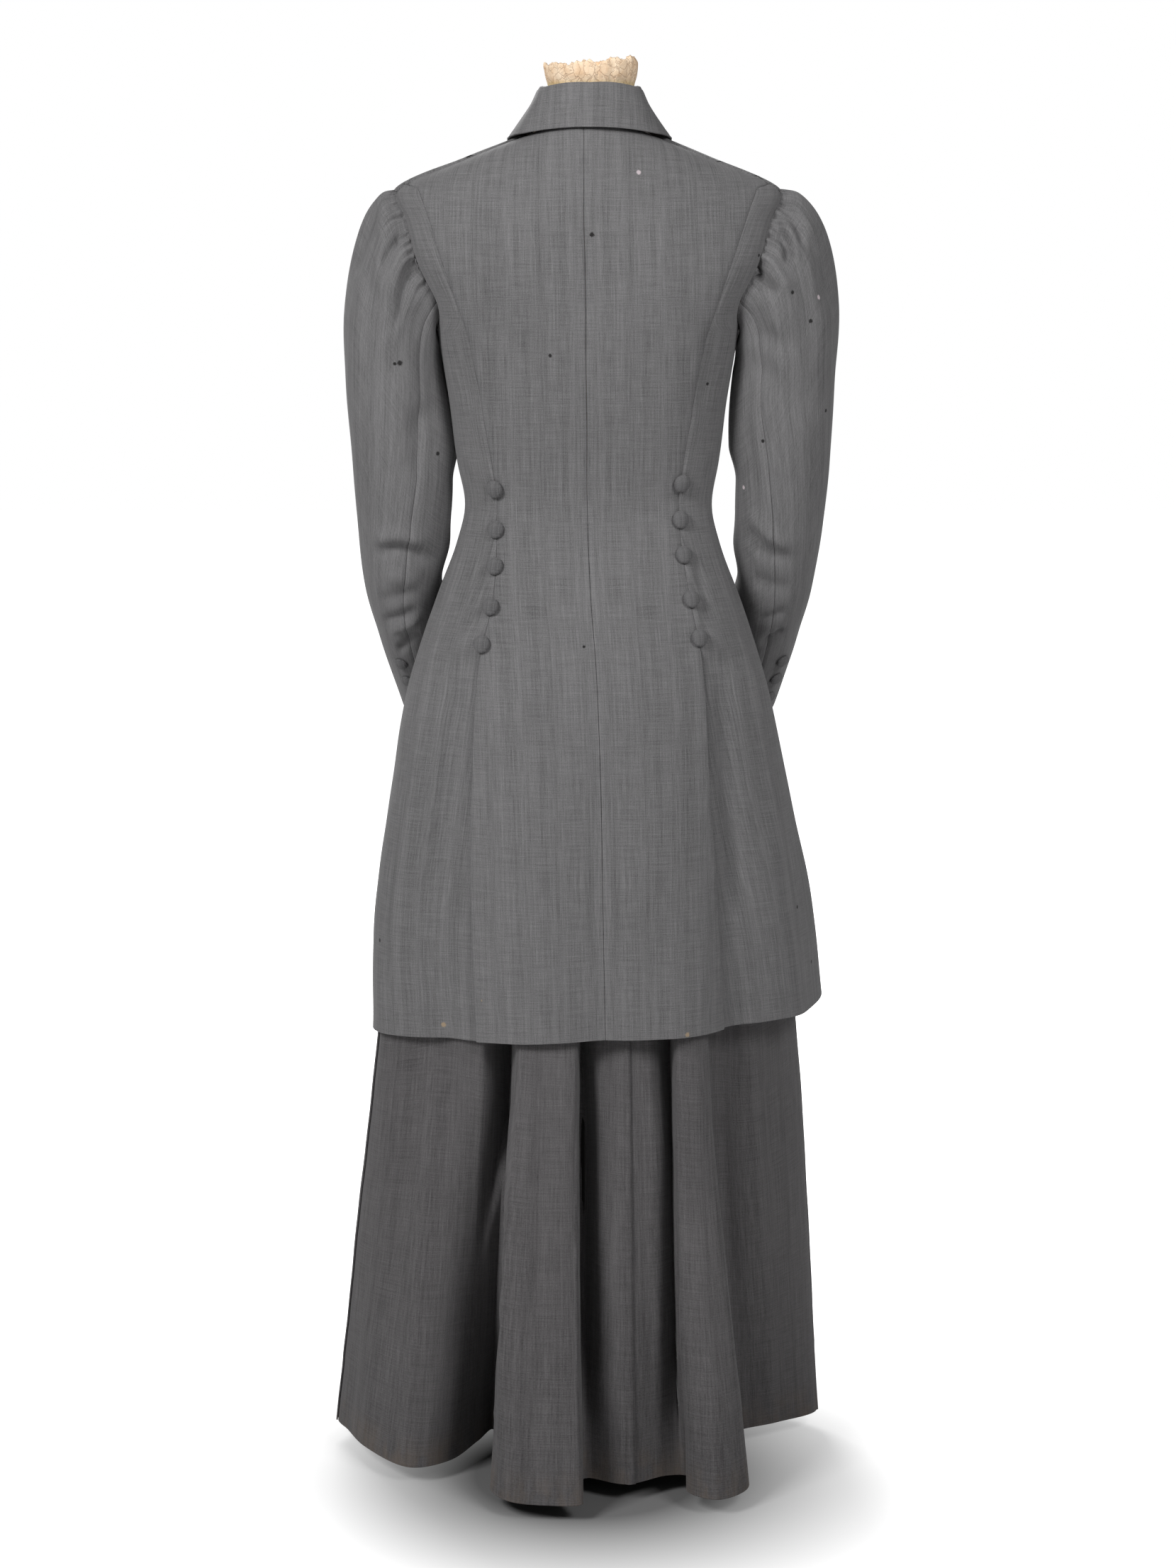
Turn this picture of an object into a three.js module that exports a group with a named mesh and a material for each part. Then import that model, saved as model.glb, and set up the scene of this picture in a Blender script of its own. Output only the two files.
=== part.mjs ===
// Walking suit, a long jacket and a floor length skirt, on a limbless dress form.
// Millimetres, +Z up, the front faces -Y, and the wearer's left is +X.
import * as THREE from 'three';

// Driving dimensions
const WALL = 2;
const SEAM_GAP = 0.36;
const REST_GAP = 0.4;
const ARMHOLE_GAP = 0.95;
const LEFT = 1;
const RIGHT = -1;
const HEM_Z = 496;
const HEM_DROP = 0.03;
const ARMHOLE_LOW = 1215;
const SHOULDER_Z = 1355;
const NECK_LEVEL = 1418;
const BREAK_LEVEL = 1185;
const FRONT_OVERLAP = 18;
const LAP_LIFT = 2.8;
const PLEAT_TOP = 905;
const PLEAT_UNDERLAP = 14;
const PLEAT_SINK = 4.6;
const BUTTON_RADIUS = 9;
const BUTTON_HEIGHT = 6;
const CUFF_BUTTON_RADIUS = 7.5;
const BUTTON_SEAT = 0.8;
const FRONT_BUTTON_SEAT = 0.35;
const CUFF_BUTTON_SEAT = 0.55;
const WAISTBAND_TOP = 1052;
const SKIRT_TOP = 1021;
const SKIRT_HIP = 850;
const SKIRT_KNEE = 489;
const SKIRT_HEM = 20;
const WAIST_INSET = 6.2;
const HIP_INSET = 14;
const FORM_SIDES = 28;
const FORM_LOW = 822;
const NECK_TOP = 1484;
const NECK_HALF_WIDTH = 45;
const NECK_HALF_DEPTH = 40;
const NECK_CENTRE_X = -3;
const NECK_CENTRE_Y = 6;
const POLE_RADIUS = 15;
const BASE_HALF_WIDTH = 84;
const BASE_HALF_DEPTH = 88;
const BASE_CENTRE_Y = -77;
const BASE_HEIGHT = 8;

// Tables

function table(names, rows) {
  return rows.map((row) => Object.fromEntries(names.map((name, index) => [name, row[index]])));
}

// The jacket's body, one row for each level from hem to neck: the heights at the back, side and
// front, the half width, how far back and front reach, where the left and the right side lie,
// the roundness, and how far the level shifts sideways.
const BODY = table(
  ['level', 'zBack', 'zSide', 'zFront', 'half', 'back', 'front', 'sideLeft', 'sideRight', 'round', 'shift'],
  [
    [496, 496, 496, 496, 239, 86, -176, -20, -120, 2.0, -13],
    [615, 615, 615, 615, 230, 94, -158, -18, -82, 2.1, -7],
    [757, 757, 757, 757, 204, 101, -137, -9, -36, 2.2, -2],
    [852, 852, 852, 852, 185, 102, -124, -5, -10, 2.2, 0],
    [940, 940, 940, 940, 157, 88, -104, -3, -3, 2.2, 0],
    [1000, 1000, 1000, 1000, 135, 68, -92, -2, -2, 2.1, 0],
    [1038, 1038, 1038, 1038, 126, 60, -88, 0, 0, 2.1, 0],
    [1083, 1083, 1083, 1083, 133, 65, -94, 0, 0, 2.2, 0],
    [1145, 1145, 1145, 1145, 141, 78, -110, -2, -2, 2.4, 0],
    [1200, 1200, 1200, 1200, 150, 86, -120, -4, -4, 2.6, 0],
    [1237, 1237, 1237, 1237, 156, 88, -115, -3, -3, 2.8, 0],
    [1290, 1290, 1290, 1290, 184, 88, -98, 0, 0, 2.5, 0],
    [1325, 1325, 1325, 1325, 188, 84, -85, 3, 3, 2.1, 0],
    [1355, 1355, 1355, 1353, 190, 78, -68, 5, 5, 1.6, 0],
    [1388, 1391, 1384, 1376, 123, 68, -50, 8, 8, 1.6, 0],
    [1418, 1421, 1409, 1403, 60, 56, -38, 9, 9, 2.0, -2],
  ],
);

// Back seams as seen from behind: the centre seam and the curved seam on either side.
const BACK_SEAMS = table(
  ['level', 'centre', 'left', 'right'],
  [
    [496, -18, 115, -146],
    [655, -15, 121, -134],
    [763, -13, 119, -124],
    [885, -8, 110, -116],
    [949, -3, 96, -103],
    [1015, 0, 92, -93],
    [1056, 1, 93, -93],
    [1120, 1, 103, -102],
    [1192, 2, 117, -115],
    [1233, 2, 127, -126],
    [1290, 3, 147, -145],
    [1325, 4, 158, -157],
    [1355, 4, 169, -168],
  ],
);

// The armhole, in degrees round the body from the centre back, on its back and front edge.
const ARMHOLE = table(
  ['level', 'backTurn', 'frontTurn'],
  [
    [1215, 90, 90],
    [1222, 79, 101],
    [1237, 71, 112],
    [1265, 68.5, 118],
    [1290, 68, 117],
    [1325, 76, 106],
    [1345, 84, 96],
    [1355, 90, 90],
  ],
);

// The neck opening of the fronts, as half its width at each level.
const NECK_OPENING = table(
  ['level', 'half'],
  [
    [1185, 0],
    [1240, 22],
    [1300, 37],
    [1355, 47],
    [1388, 53],
    [1418, 60],
  ],
);

// Soft folds of the jacket's skirt: where each starts, its place there and at the hem, its
// width, and how far it stands out (or in) at the hem.
const JACKET_FOLDS = table(
  ['name', 'start', 'xStart', 'xHem', 'width', 'out', 'face'],
  [
    ['left ridge', 860, 150, 217, 17, 6, 'back'],
    ['left hollow', 900, 124, 152, 22, -9, 'back'],
    ['left swell', 870, 64, 66, 30, 5, 'back'],
    ['centre hollow', 860, -6, -14, 26, -9, 'back'],
    ['right swell', 870, -72, -98, 26, 4, 'back'],
    ['right trough', 900, -120, -156, 21, -10, 'back'],
    ['right ridge', 910, -150, -216, 18, 7, 'back'],
    ['front left hollow', 900, 84, 128, 26, -8, 'front'],
    ['front left swell', 880, 50, 74, 26, 5, 'front'],
    ['front right swell', 880, -50, -82, 26, 5, 'front'],
    ['front right hollow', 900, -84, -140, 26, -8, 'front'],
  ],
);

// The sleeve, one row for each ring: its outer and inner point on the left and the right as seen
// from behind, where its middle lies from front to back, its half depth, and how far the arm
// leans forward.
const SLEEVE = table(
  ['at', 'outerLeft', 'outerRight', 'outerZ', 'innerLeft', 'innerRight', 'innerZ', 'y', 'depth', 'lean'],
  [
    [0.0, 190, 190, 1355, 152, 152, 1215, -2, 50, 0],
    [0.05, 206, 211, 1350, 153.5, 154, 1207, -2, 56, 0],
    [0.12, 227, 236, 1315, 153.5, 155, 1192, -5, 62, 0],
    [0.22, 243, 251, 1245, 149.5, 152, 1167, -10, 61, 0],
    [0.34, 245, 250, 1170, 142.5, 149, 1128, -13, 56, 0],
    [0.48, 240, 246, 1085, 137, 150, 1072, -16, 50, 4],
    [0.6, 235, 239, 1010, 141, 149, 1002, -26, 46, 12],
    [0.7, 230, 231, 950, 151, 153, 948, -48, 42, 28],
    [0.8, 220, 221, 905, 148, 150, 905, -82, 38, 40],
    [0.9, 210, 211, 862, 140, 142, 862, -120, 35, 44],
    [1.0, 198, 200, 815, 127, 129, 815, -160, 33, 44],
  ],
);

// The sleeve's back seam, in degrees round the arm from its outer side.
const SLEEVE_SEAM = table(
  ['at', 'turn'],
  [
    [0.0, 128],
    [0.15, 131],
    [0.33, 123],
    [0.48, 110],
    [0.62, 96],
    [0.8, 92],
    [1.0, 96],
  ],
);
const SLEEVE_FRONT_SEAM = 218;

// Fold lines of the skirt, going round from the front over the left side and the back: the
// angle of each at the waist, its angle and how far it lies inside the jacket at the knee, and
// its place at the hem.
const SKIRT_LINES = table(
  ['name', 'turn', 'kneeTurn', 'kneeIn', 'hemX', 'hemY'],
  [
    ['front_middle', 180, 180, 13, 0, -238],
    ['front_left', 152, 154, 14, 128, -222],
    ['front_left_side', 122, 124, 13, 224, -180],
    ['side_left', 96, 90, 10, 274, -118],
    ['b_start', 80, 69, 12, 261, -80],
    ['b_ridge', 66, 57, 14, 238, -28],
    ['b_crown', 54, 46.5, 15, 188, 31],
    ['b_turn', 44, 36, 14, 149, 12],
    ['b_edge', 36, 29.5, 18, 121, -46],
    ['c_floor', 31, 26.5, 30, 105, -84],
    ['c_wall', 27, 24, 30, 91, -36],
    ['d_under', 24, 22, 20, 91, 44],
    ['d_edge', 20, 20.5, 11, 101, 94],
    ['d_round', 15, 17, 11, 80, 128],
    ['d_face', 8, 11.5, 12, 40, 138],
    ['d_lip', 3, 6, 12, 7, 136],
    ['e_under', 0, 4.2, 21, 16, 96],
    ['e_floor', -3, 1, 27, 2, 62],
    ['e_face', -10, -5, 21, -40, 79],
    ['e_side', -18, -13, 25, -84, 54],
    ['f_wall', -24, -18, 24, -109, 56],
    ['f_edge', -28, -20.5, 13, -105, 100],
    ['f_crown', -34, -25.6, 11, -134, 122],
    ['f_turn', -42, -30.5, 15, -165, 92],
    ['g_wall', -50, -33.5, 30, -158, 4],
    ['g_floor', -60, -38, 40, -160, -74],
    ['g_face', -72, -48, 36, -208, -104],
    ['side_right', -94, -92, 33, -252, -142],
    ['front_right_side', -122, -124, 28, -214, -186],
    ['front_right', -152, -154, 16, -120, -224],
  ],
);

// The form's clearance under the cloth, level by level.
const FORM_CLEARANCE = table(
  ['level', 'inset'],
  [
    [822, 40],
    [852, 34],
    [940, 22],
    [1000, 13],
    [1021, 9.4],
    [1052, 9.4],
    [1083, 8],
    [1145, 7],
    [1237, 7],
    [1325, 5.5],
    [1355, 5.2],
    [1388, 5.2],
    [1418, 9],
  ],
);

// The rings of the form's neck: the height of each and how far it lies inside the widest one.
const NECK_RINGS = table(
  ['z', 'less'],
  [
    [1434, 2],
    [1456, 2],
    [1468, -1],
    [1480, -1],
    [NECK_TOP, 2],
  ],
);

// The collar, from the centre back (0) to its front end (1): the height of the fold over the
// neckline, how far it stands out there, how far the fall reaches down, how far its foot is set
// in, and how far the fall bows out.
const COLLAR = table(
  ['at', 'rise', 'lean', 'fall', 'inset', 'bow'],
  [
    [0, 36, -4, 9, 1.5, 4],
    [0.35, 40, -9, 8, 1.5, 2],
    [0.62, 44, -14, 8, 1.5, -2],
    [0.8, 28, -5, 22, 1, 1],
    [1, 6, 4, 34, 0.5, 4],
  ],
);

// Covered buttons on the back seams, by their height on the left and the right.
const BACK_BUTTONS = table(
  ['left', 'right'],
  [
    [1058, 1064],
    [1017, 1027],
    [981, 992],
    [942, 949],
    [905, 911],
  ],
);
const CUFF_BUTTON_PLACES = [0.835, 0.885, 0.935];
const CUFF_BUTTON_TURN_LEFT = 24;
const CUFF_BUTTON_TURN_RIGHT = 36;
const FRONT_BUTTON_LEVELS = [1165, 1110, 1056, 1000];

// Curves

const radians = THREE.MathUtils.degToRad;
const degrees = THREE.MathUtils.radToDeg;

// A smooth value from one column of a table, at a place between its rows.
function along(rows, by, at, key) {
  const last = rows.length - 1;
  let i = 0;
  while (i < last - 1 && at > rows[i + 1][by]) {
    i += 1;
  }
  const slope = (j) => (rows[j + 1][key] - rows[j][key]) / (rows[j + 1][by] - rows[j][by]);
  const start = i > 0 ? (slope(i - 1) + slope(i)) / 2 : slope(i);
  const end = i < last - 1 ? (slope(i) + slope(i + 1)) / 2 : slope(i);
  const span = rows[i + 1][by] - rows[i][by];
  const t = (at - rows[i][by]) / span;
  const from = rows[i][key] * (2 * t ** 3 - 3 * t ** 2 + 1) + start * span * (t ** 3 - 2 * t ** 2 + t);
  return from + rows[i + 1][key] * (3 * t ** 2 - 2 * t ** 3) + end * span * (t ** 3 - t ** 2);
}

// Rises smoothly from 0 to 1 as the value goes from one limit to the other, in either order.
function smooth(from, to, value) {
  const t = THREE.MathUtils.clamp((value - from) / (to - from), 0, 1);
  return t * t * (3 - 2 * t);
}

function power(value, exponent) {
  return Math.sign(value) * Math.abs(value) ** exponent;
}

function mix(a, b, t) {
  return a + (b - a) * t;
}

// Shape of the jacket's body

// How far the soft folds push the jacket's skirt out at a place seen from behind or in front.
function foldOut(x, level, face) {
  let out = 0;
  for (const fold of JACKET_FOLDS) {
    if (fold.face === face && level < fold.start) {
      const down = (fold.start - level) / (fold.start - HEM_Z);
      const middle = mix(fold.xStart, fold.xHem, down);
      out += fold.out * down ** 0.8 * Math.exp(-(((x - middle) / fold.width) ** 2));
    }
  }
  return out;
}

// A point of the body's outer surface: turn goes from the centre back (0) over the wearer's
// left (90) to the centre front (180).
function bodyPoint(turn, level) {
  const row = (key) => along(BODY, 'level', level, key);
  const sin = Math.sin(radians(turn));
  const cos = Math.cos(radians(turn));
  const round = 2 / row('round');
  const isBack = cos > 0;
  const x = row('shift') + row('half') * power(sin, round);
  const reach = isBack ? row('back') : row('front');
  const side = row(sin > 0 ? 'sideLeft' : 'sideRight');
  const y = side + (reach - side) * Math.abs(cos) ** round;
  const z = mix(row('zSide'), isBack ? row('zBack') : row('zFront'), cos * cos);
  const out = foldOut(x, level, isBack ? 'back' : 'front') * Math.min(1, 2 * Math.abs(cos));
  const drop = HEM_DROP * x * smooth(700, HEM_Z, level);
  return new THREE.Vector3(x + out * sin, y + out * cos, z - drop);
}

// The turn at which the body's surface has a given x.
function turnAt(x, level) {
  const half = along(BODY, 'level', level, 'half');
  const shift = along(BODY, 'level', level, 'shift');
  const share = THREE.MathUtils.clamp((x - shift) / half, -1, 1);
  return degrees(Math.asin(power(share, along(BODY, 'level', level, 'round') / 2)));
}

function centreSeamTurn(level) {
  return turnAt(along(BACK_SEAMS, 'level', Math.min(level, SHOULDER_Z), 'centre'), level);
}

// The curved back seam runs up the back and over the shoulder to the shoulder seam.
function backSeamTurn(side, level) {
  const column = side === LEFT ? 'left' : 'right';
  const low = Math.min(level, SHOULDER_Z);
  const below = turnAt(along(BACK_SEAMS, 'level', low, column), low);
  return mix(below, side * 90, smooth(SHOULDER_Z, SHOULDER_Z + 9, level));
}

function armholeTurn(side, level, key) {
  return side * along(ARMHOLE, 'level', THREE.MathUtils.clamp(level, ARMHOLE_LOW, SHOULDER_Z), key);
}

// The neck edge of a front, from the break of the revers up to the shoulder seam.
function neckEdgeTurn(side, level) {
  const half = along(NECK_OPENING, 'level', level, 'half');
  return side * (180 - turnAt(half, level));
}

// Solids

function surfaceNormal(place, u, v) {
  const step = 0.004;
  const across = place(u + step, v).sub(place(u - step, v));
  const down = place(u, v + step).sub(place(u, v - step));
  return across.cross(down).normalize();
}

// A closed solid from vertices and triangles, turned so that its faces point out.
function solid(name, vertices, triangles, material) {
  let volume = 0;
  for (const [a, b, c] of triangles) {
    volume += vertices[a].dot(new THREE.Vector3().crossVectors(vertices[b], vertices[c]));
  }
  const index = triangles.flatMap(([a, b, c]) => (volume > 0 ? [a, b, c] : [a, c, b]));
  const geometry = new THREE.BufferGeometry();
  geometry.setAttribute('position', new THREE.Float32BufferAttribute(vertices.flatMap((p) => p.toArray()), 3));
  geometry.setIndex(index);
  geometry.computeVertexNormals();
  const mesh = new THREE.Mesh(geometry, material);
  mesh.name = name;
  return mesh;
}

// A wall of cloth: a grid of outer points and the same grid moved in by the wall. Each edge
// draws back by half the seam gap. hint points out of the wall at the middle of the grid.
function clothWall(name, place, across, down, hint, material, wall = WALL) {
  const columns = across.length;
  const rows = down.length;
  const middle = [across[columns >> 1], down[rows >> 1]];
  const facing = Math.sign(surfaceNormal(place, ...middle).dot(hint(place(...middle))));
  const outer = down.map((v) => across.map((u) => place(u, v)));
  const normals = down.map((v) => across.map((u) => surfaceNormal(place, u, v).multiplyScalar(facing)));
  const drawn = outer.map((line) => line.map((point) => point.clone()));
  const draw = (point, towards) => point.add(towards.clone().sub(point).setLength(SEAM_GAP / 2));
  for (let r = 0; r < rows; r += 1) {
    draw(drawn[r][0], outer[r][1]);
    draw(drawn[r][columns - 1], outer[r][columns - 2]);
  }
  for (let c = 0; c < columns; c += 1) {
    draw(drawn[0][c], outer[1][c]);
    draw(drawn[rows - 1][c], outer[rows - 2][c]);
  }
  const vertices = drawn.flat();
  drawn.forEach((line, r) => line.forEach((point, c) => {
    vertices.push(point.clone().addScaledVector(normals[r][c], -wall));
  }));
  const under = rows * columns;
  const triangles = [];
  const quad = (a, b, c, d) => triangles.push([a, b, c], [a, c, d]);
  for (let r = 0; r + 1 < rows; r += 1) {
    for (let c = 0; c + 1 < columns; c += 1) {
      const a = r * columns + c;
      const [b, e, d] = [a + 1, a + columns + 1, a + columns];
      triangles.push([a, b, e], [a, e, d]);
      triangles.push([under + a, under + e, under + b], [under + a, under + d, under + e]);
    }
  }
  for (let c = 0; c + 1 < columns; c += 1) {
    const low = (rows - 1) * columns + c;
    quad(c + 1, c, under + c, under + c + 1);
    quad(low, low + 1, under + low + 1, under + low);
  }
  for (let r = 0; r + 1 < rows; r += 1) {
    const first = r * columns;
    const last = first + columns - 1;
    quad(first, first + columns, under + first + columns, under + first);
    quad(last + columns, last, under + last, under + last + columns);
  }
  return solid(name, vertices, triangles, material);
}

// A solid from rings of points, closed with a fan at both ends.
function ringSolid(name, rings, material) {
  const count = rings[0].length;
  const vertices = rings.flat();
  const triangles = [];
  for (let r = 0; r + 1 < rings.length; r += 1) {
    for (let c = 0; c < count; c += 1) {
      const a = r * count + c;
      const b = r * count + ((c + 1) % count);
      triangles.push([a, b, b + count], [a, b + count, a + count]);
    }
  }
  const centre = (ring) => ring.reduce((sum, p) => sum.add(p), new THREE.Vector3()).divideScalar(count);
  const low = vertices.push(centre(rings[0])) - 1;
  const high = vertices.push(centre(rings[rings.length - 1])) - 1;
  const top = (rings.length - 1) * count;
  for (let c = 0; c < count; c += 1) {
    const next = (c + 1) % count;
    triangles.push([low, next, c], [high, top + c, top + next]);
  }
  return solid(name, vertices, triangles, material);
}

function steps(count, from = 0, to = 1) {
  return Array.from({ length: count + 1 }, (_, i) => mix(from, to, i / count));
}

const fromMiddle = (point) => new THREE.Vector3(point.x, point.y + 10, 0);

// Levels of the grid rows: the upper ones follow the sleeve's columns round the armhole.
const ARMHOLE_STEPS = 12;
const ARMHOLE_LEVELS = steps(ARMHOLE_STEPS).map((share) => armholeLevel(share * 180)).reverse();
const LOW_LEVELS = [HEM_Z, 570, 650, 730, 800, 855, 885, 912, 945, 975, 1000, 1020, 1038, 1058, 1085, 1125, 1160,
  1185];
const TOP_LEVELS = [1364, 1378, 1398, NECK_LEVEL];

function armholeLevel(turn) {
  return (SHOULDER_Z + ARMHOLE_LOW) / 2 + ((SHOULDER_Z - ARMHOLE_LOW) / 2) * Math.cos(radians(turn));
}

// The jacket's pieces

function jacketBack(side, material) {
  const levels = [...LOW_LEVELS, ...ARMHOLE_LEVELS, ...TOP_LEVELS];
  const place = (u, level) => bodyPoint(mix(centreSeamTurn(level), backSeamTurn(side, level), u), level);
  const name = side === LEFT ? 'jacket_back_left' : 'jacket_back_right';
  return clothWall(name, place, steps(6), levels, fromMiddle, material);
}

// Where the pleats open, the side panel sinks in and passes under the back panel.
function jacketSide(side, material) {
  const levels = [...LOW_LEVELS, ...ARMHOLE_LEVELS, 1358, 1361];
  const place = (u, level) => {
    const sunk = smooth(PLEAT_TOP, PLEAT_TOP - 22, level);
    const lapped = smooth(PLEAT_TOP - 12, PLEAT_TOP - 60, level);
    const under = degrees(PLEAT_UNDERLAP / along(BODY, 'level', level, 'half'));
    const start = backSeamTurn(side, level) - side * under * lapped;
    const end = level > ARMHOLE_LOW ? armholeTurn(side, level, 'backTurn') : side * 90;
    const turn = mix(start, end, u);
    return insidePoint(turn, level, PLEAT_SINK * sunk * (1 - smooth(0.1, 0.6, u)));
  };
  const name = side === LEFT ? 'jacket_side_left' : 'jacket_side_right';
  return clothWall(name, place, [0, 0.12, 0.26, 0.42, 0.6, 0.8, 1], levels, fromMiddle, material);
}

// The wearer's right front laps over the left one at the centre front.
function frontLift(side, turn, level) {
  if (side === LEFT || level > BREAK_LEVEL + 60) {
    return 0;
  }
  const share = (Math.abs(turn) - 90) / (Math.abs(frontEdgeTurn(side, level)) - 90);
  return LAP_LIFT * smooth(0.5, 0.72, share) * smooth(BREAK_LEVEL + 60, BREAK_LEVEL, level);
}

function frontPoint(side, turn, level) {
  const point = bodyPoint(turn, level);
  point.y -= frontLift(side, turn, level);
  return point;
}

function frontEdgeTurn(side, level) {
  const below = side * 180 - turnAt(-side * FRONT_OVERLAP, level);
  if (level <= BREAK_LEVEL - 40) {
    return below;
  }
  const above = neckEdgeTurn(side, Math.max(level, BREAK_LEVEL));
  return mix(below, above, smooth(BREAK_LEVEL - 40, BREAK_LEVEL + 20, level));
}

function jacketFront(side, material) {
  const levels = [...LOW_LEVELS, ...ARMHOLE_LEVELS, ...TOP_LEVELS];
  const place = (u, level) => {
    const outer = level > ARMHOLE_LOW ? armholeTurn(side, level, 'frontTurn') : side * 90;
    return frontPoint(side, mix(outer, frontEdgeTurn(side, level), u), level);
  };
  const name = side === LEFT ? 'jacket_front_left' : 'jacket_front_right';
  return clothWall(name, place, [0, 0.16, 0.32, 0.47, 0.6, 0.74, 0.87, 1], levels, fromMiddle, material);
}

// The revers are the turned out tops of the fronts. They lie on the fronts.
const REVERS_TOP = 1345;
const REVERS_WIDTH = 56;
const REVERS_WIDTH_LOW = 6;
const REVERS_LIFT = 0.9;

function revers(side, material) {
  const place = (u, level) => {
    const rise = (level - BREAK_LEVEL) / (REVERS_TOP - BREAK_LEVEL);
    const edge = frontPoint(side, frontEdgeTurn(side, level), level).x;
    const width = mix(REVERS_WIDTH_LOW, REVERS_WIDTH, Math.max(rise, 0) ** 0.7);
    const turn = side * 180 - turnAt(edge + side * (1 + width * u), level);
    const lift = new THREE.Vector3(Math.sin(radians(turn)), Math.cos(radians(turn)), 0.1).normalize();
    return frontPoint(side, turn, level).addScaledVector(lift, WALL + REST_GAP + REVERS_LIFT);
  };
  const levels = steps(8, BREAK_LEVEL + 18, REVERS_TOP);
  const name = side === LEFT ? 'revers_left' : 'revers_right';
  return clothWall(name, place, steps(4), levels, fromMiddle, material);
}

// The collar stands up from the neckline, folds over and falls on the jacket.
const COLLAR_SIDE = 0.62;
const COLLAR_END_LEVEL = 1366;
const COLLAR_FRONT_FALL = 26;
const COLLAR_FOLD_ROOM = 3;
const COLLAR_FOOT_OUT = 1.8;
const COLLAR_FOOT_UP = 0.8;

function collarBase(at) {
  const side = Math.sign(at) || 1;
  const share = Math.abs(at);
  if (share <= COLLAR_SIDE) {
    return { turn: side * 90 * (share / COLLAR_SIDE), level: NECK_LEVEL };
  }
  const level = mix(NECK_LEVEL, COLLAR_END_LEVEL, (share - COLLAR_SIDE) / (1 - COLLAR_SIDE));
  return { turn: neckEdgeTurn(side, level), level };
}

function collarFoot(at) {
  const side = Math.sign(at) || 1;
  const share = Math.abs(at);
  const base = collarBase(at);
  const front = smooth(COLLAR_SIDE - 0.1, 1, share);
  const level = base.level - along(COLLAR, 'at', share, 'fall') * (1 - front);
  return bodyPoint(base.turn - side * COLLAR_FRONT_FALL * front, level);
}

function collarPoint(at, w) {
  const share = Math.min(Math.abs(at), 1);
  const base = collarBase(at);
  const neck = bodyPoint(base.turn, base.level);
  const away = new THREE.Vector3(Math.sin(radians(base.turn)), Math.cos(radians(base.turn)), 0);
  const rise = along(COLLAR, 'at', share, 'rise');
  const lean = along(COLLAR, 'at', share, 'lean');
  const start = neck.clone().addScaledVector(away, -along(COLLAR, 'at', share, 'inset'));
  start.z += WALL + REST_GAP;
  const top = neck.clone().addScaledVector(away, lean + COLLAR_FOLD_ROOM);
  top.z += rise;
  const foot = collarFoot(at).addScaledVector(away, WALL + REST_GAP + COLLAR_FOOT_OUT);
  foot.z += WALL + REST_GAP + COLLAR_FOOT_UP;
  const stand = start.clone().lerp(top, 0.55).addScaledVector(away, -1);
  const over = top.clone().lerp(foot, 0.3).addScaledVector(away, along(COLLAR, 'at', share, 'bow'));
  const path = new THREE.CatmullRomCurve3([start, stand, top, over, foot], false, 'centripetal');
  return path.getPoint(w);
}

function collar(material) {
  const place = (u, v) => collarPoint(u, THREE.MathUtils.clamp(v, 0, 1));
  const up = () => new THREE.Vector3(0, 1, 0.5);
  return clothWall('collar', place, steps(24, -1, 1), steps(6), up, material);
}

// The sleeves

function armholePoint(side, turn) {
  const level = armholeLevel(turn);
  const key = turn <= 180 ? 'backTurn' : 'frontTurn';
  return bodyPoint(armholeTurn(side, level, key), level);
}

function ovalPoint(side, turn, at) {
  const row = (key) => along(SLEEVE, 'at', at, key);
  const cos = Math.cos(radians(turn));
  const sin = Math.sin(radians(turn));
  const lean = radians(row('lean'));
  const [inner, outer] = side === LEFT ? ['innerLeft', 'outerLeft'] : ['innerRight', 'outerRight'];
  const x = mix(row(inner), row(outer), (1 + cos) / 2);
  const z = mix(row('innerZ'), row('outerZ'), (1 + cos) / 2);
  const back = row('depth') * sin;
  return new THREE.Vector3(side * x, row('y') + back * Math.cos(lean), z - back * Math.sin(lean));
}

// Soft folds of the full sleeve head, which fade out above the elbow.
function headFold(turn, at) {
  const waves = Math.cos(radians(turn * 7 + 20)) + 0.6 * Math.cos(radians(turn * 4 - 50));
  return 2.2 * waves * smooth(0.02, 0.1, at) * (1 - smooth(0.12, 0.42, at));
}

// Creases inside and behind the bent elbow.
function elbowFold(turn, at) {
  const inside = Math.max(0, Math.cos(radians(turn - 235)));
  return -3 * inside * (Math.cos((at - 0.66) * 60) * Math.exp(-(((at - 0.68) / 0.1) ** 2)));
}

function sleevePoint(side, turn, at) {
  const oval = ovalPoint(side, turn, at);
  const wrapped = ((turn % 360) + 360) % 360;
  const middle = ovalPoint(side, turn, at).lerp(ovalPoint(side, turn + 180, at), 0.5);
  const out = oval.clone().sub(middle).normalize();
  oval.addScaledVector(out, headFold(wrapped, at) + elbowFold(wrapped, at));
  const seam = armholePoint(side, wrapped).sub(ovalPoint(side, turn, 0));
  oval.addScaledVector(seam, (1 - smooth(0, 0.24, at)) ** 1.5);
  oval.x += side * ARMHOLE_GAP;
  return oval;
}

const SLEEVE_PLACES = [0, 0.025, 0.055, 0.09, 0.13, 0.18, 0.24, 0.3, 0.37, 0.44, 0.51, 0.57, 0.62, 0.67, 0.72,
  0.78, 0.85, 0.92, 1];

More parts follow.
